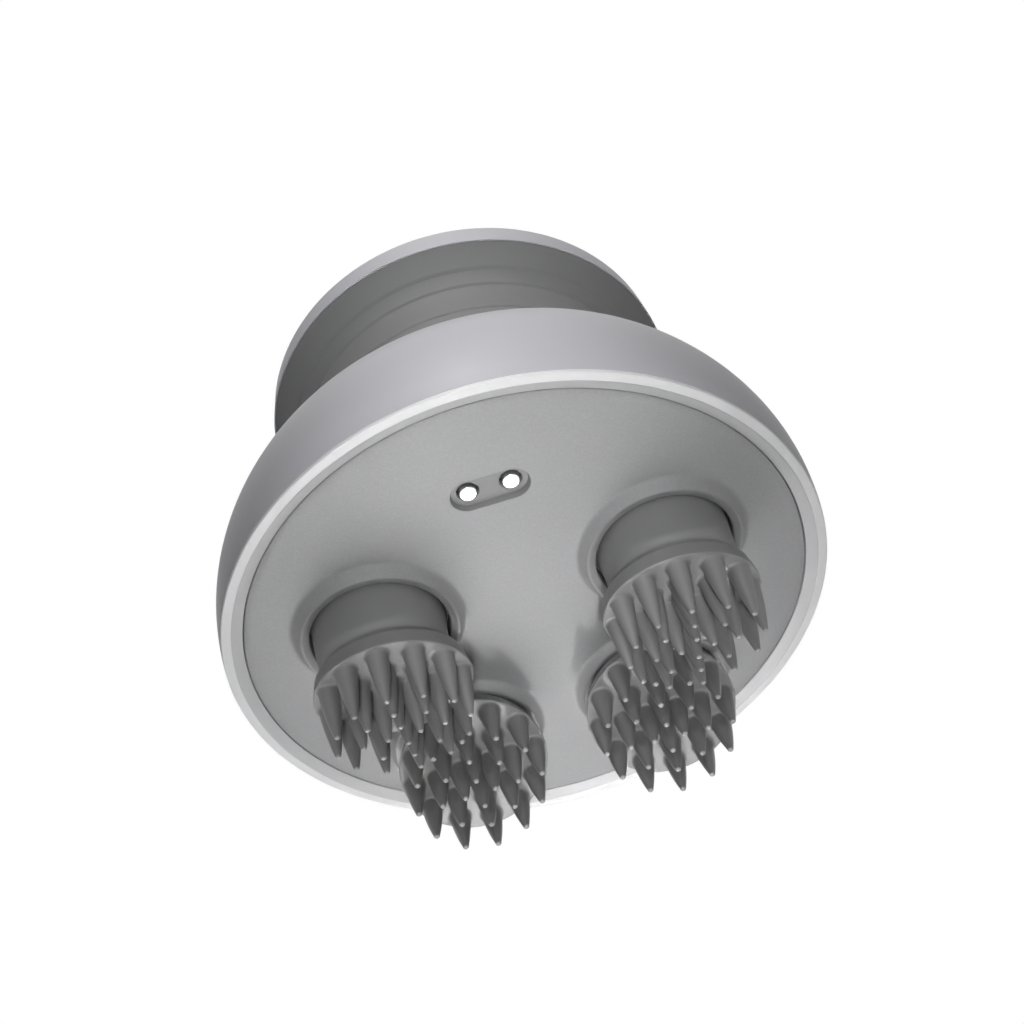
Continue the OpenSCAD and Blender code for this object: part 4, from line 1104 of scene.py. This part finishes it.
camera = bpy.data.objects.new("camera", bpy.data.cameras.new("camera"))
camera.data.lens = 45.70
camera.data.sensor_width = 36
camera.data.shift_x = -0.0007
camera.data.shift_y = 0.0017
camera.data.clip_start = 5 * MM
camera_at = Vector((4.473, -165.459, RIM - 151.526))
camera_azimuth, camera_elevation, camera_roll = -89.072, -47.412, radians(-15.948)
camera_turn = turned_to(camera_azimuth, camera_elevation) @ Matrix.Rotation(camera_roll, 4, "Z")
camera.matrix_world = Matrix.Translation(camera_at * MM) @ camera_turn
bpy.context.scene.collection.objects.link(camera)
bpy.context.scene.camera = camera
print("camera:", round(camera_at.length), "mm from the frame's origin")

# %% Floor
floor_half, floor_glow = 1200, 0.6
f = Finish("pale_floor")
f.put(Base_Color=f.mix(f.noise(60, detail=4.0), (0.80,) * 3, (0.84,) * 3), Roughness=0.8)
glow = f.node("ShaderNodeEmission", "Emission", Color=(0.95,) * 3, Strength=1.0)
pale = f.choose(floor_glow, Value(f, f.surface.outputs[0]), glow)
camera_ray = f.node("ShaderNodeLightPath", "Is Camera Ray")
underneath = f.node("ShaderNodeNewGeometry", "Backfacing")
clear = f.node("ShaderNodeBsdfTransparent", "BSDF")
f.show(f.choose(camera_ray * (1 - underneath), clear, pale), "Material Output")
bm = bmesh.new()
bmesh.ops.create_grid(bm, x_segments=1, y_segments=1, size=floor_half)
floor = link("floor", bm, f.material)
print("floor:", 2 * floor_half, "mm wide")

# %% World
bpy.context.scene.view_settings.view_transform = "Standard"
world = bpy.data.worlds.new("studio")
bpy.context.scene.world = world
sky = Shader(world)
ambient = sky.tree.nodes["Background"]
sky.feed(ambient.inputs["Color"], (1, 1, 1))
sky.feed(ambient.inputs["Strength"], 0.01)
backdrop = sky.node("ShaderNodeBackground", "Background", Color=(1, 1, 1))
seen, mirrored, through = [
    sky.node("ShaderNodeLightPath", kind)
    for kind in ("Is Camera Ray", "Is Glossy Ray", "Is Transmission Ray")
]
bare = seen + mirrored + through
sky.show(sky.choose(bare, Value(sky, ambient.outputs[0]), backdrop), "World Output")

# %% [markdown]
# Narrow strips with a tight beam light the object from in front at several
# heights, so that its round walls darken smoothly from the middle to the
# sides. Broad soft boxes there would light the sides as much as the middle.
# One more strip comes from below at the rear, and a small lamp near the
# underside softens the shadows between the claws. Broad lamps behind and
# above light what the camera from below doesn't see.

# %% Lamps
# Azimuth and elevation of each lamp in degrees, its distance, width and height in metres, the
# angle of its beam in degrees, its power in watts and how far it is moved sideways in metres
LAMPS = {
    "front_high": (-90, 40, 0.9, 0.04, 0.5, 6, 0.024, 0.004),
    "front_level": (-90, 20, 0.9, 0.04, 0.5, 7, 0.0105, 0.008),
    "front_mid": (-90, -12, 0.9, 0.04, 0.5, 7, 0.0137, 0.005),
    "front_low": (-90, -50, 0.9, 0.06, 0.5, 10, 0.070, 0.005),
    "rear_beam": (90, -70, 0.9, 0.06, 0.5, 10, 0.036, 0.005),
    "near_low": (115, -60, 0.22, 0.12, 0.12, 180, 0.20, 0),
    "rear_high": (90, 40, 0.9, 0.8, 0.8, 180, 4.0, 0),
    "top": (0, 90, 0.9, 1.0, 1.0, 180, 0.3, 0),
}
lit_point = Vector((0, 0, 45)) * MM
for name, (azimuth, elevation, distance, width, height, beam, power, shift) in LAMPS.items():
    lamp = bpy.data.lights.new(name, "AREA")
    lamp.shape = "ELLIPSE"
    lamp.size, lamp.size_y = width, height
    lamp.spread = radians(beam)
    lamp.energy = power
    holder = bpy.data.objects.new(name, lamp)
    offset = Matrix.Translation((shift, 0, distance))
    holder.matrix_world = Matrix.Translation(lit_point) @ turned_to(azimuth, elevation) @ offset
    holder.visible_camera = False
    bpy.context.scene.collection.objects.link(holder)
print(len(LAMPS), "lamps")
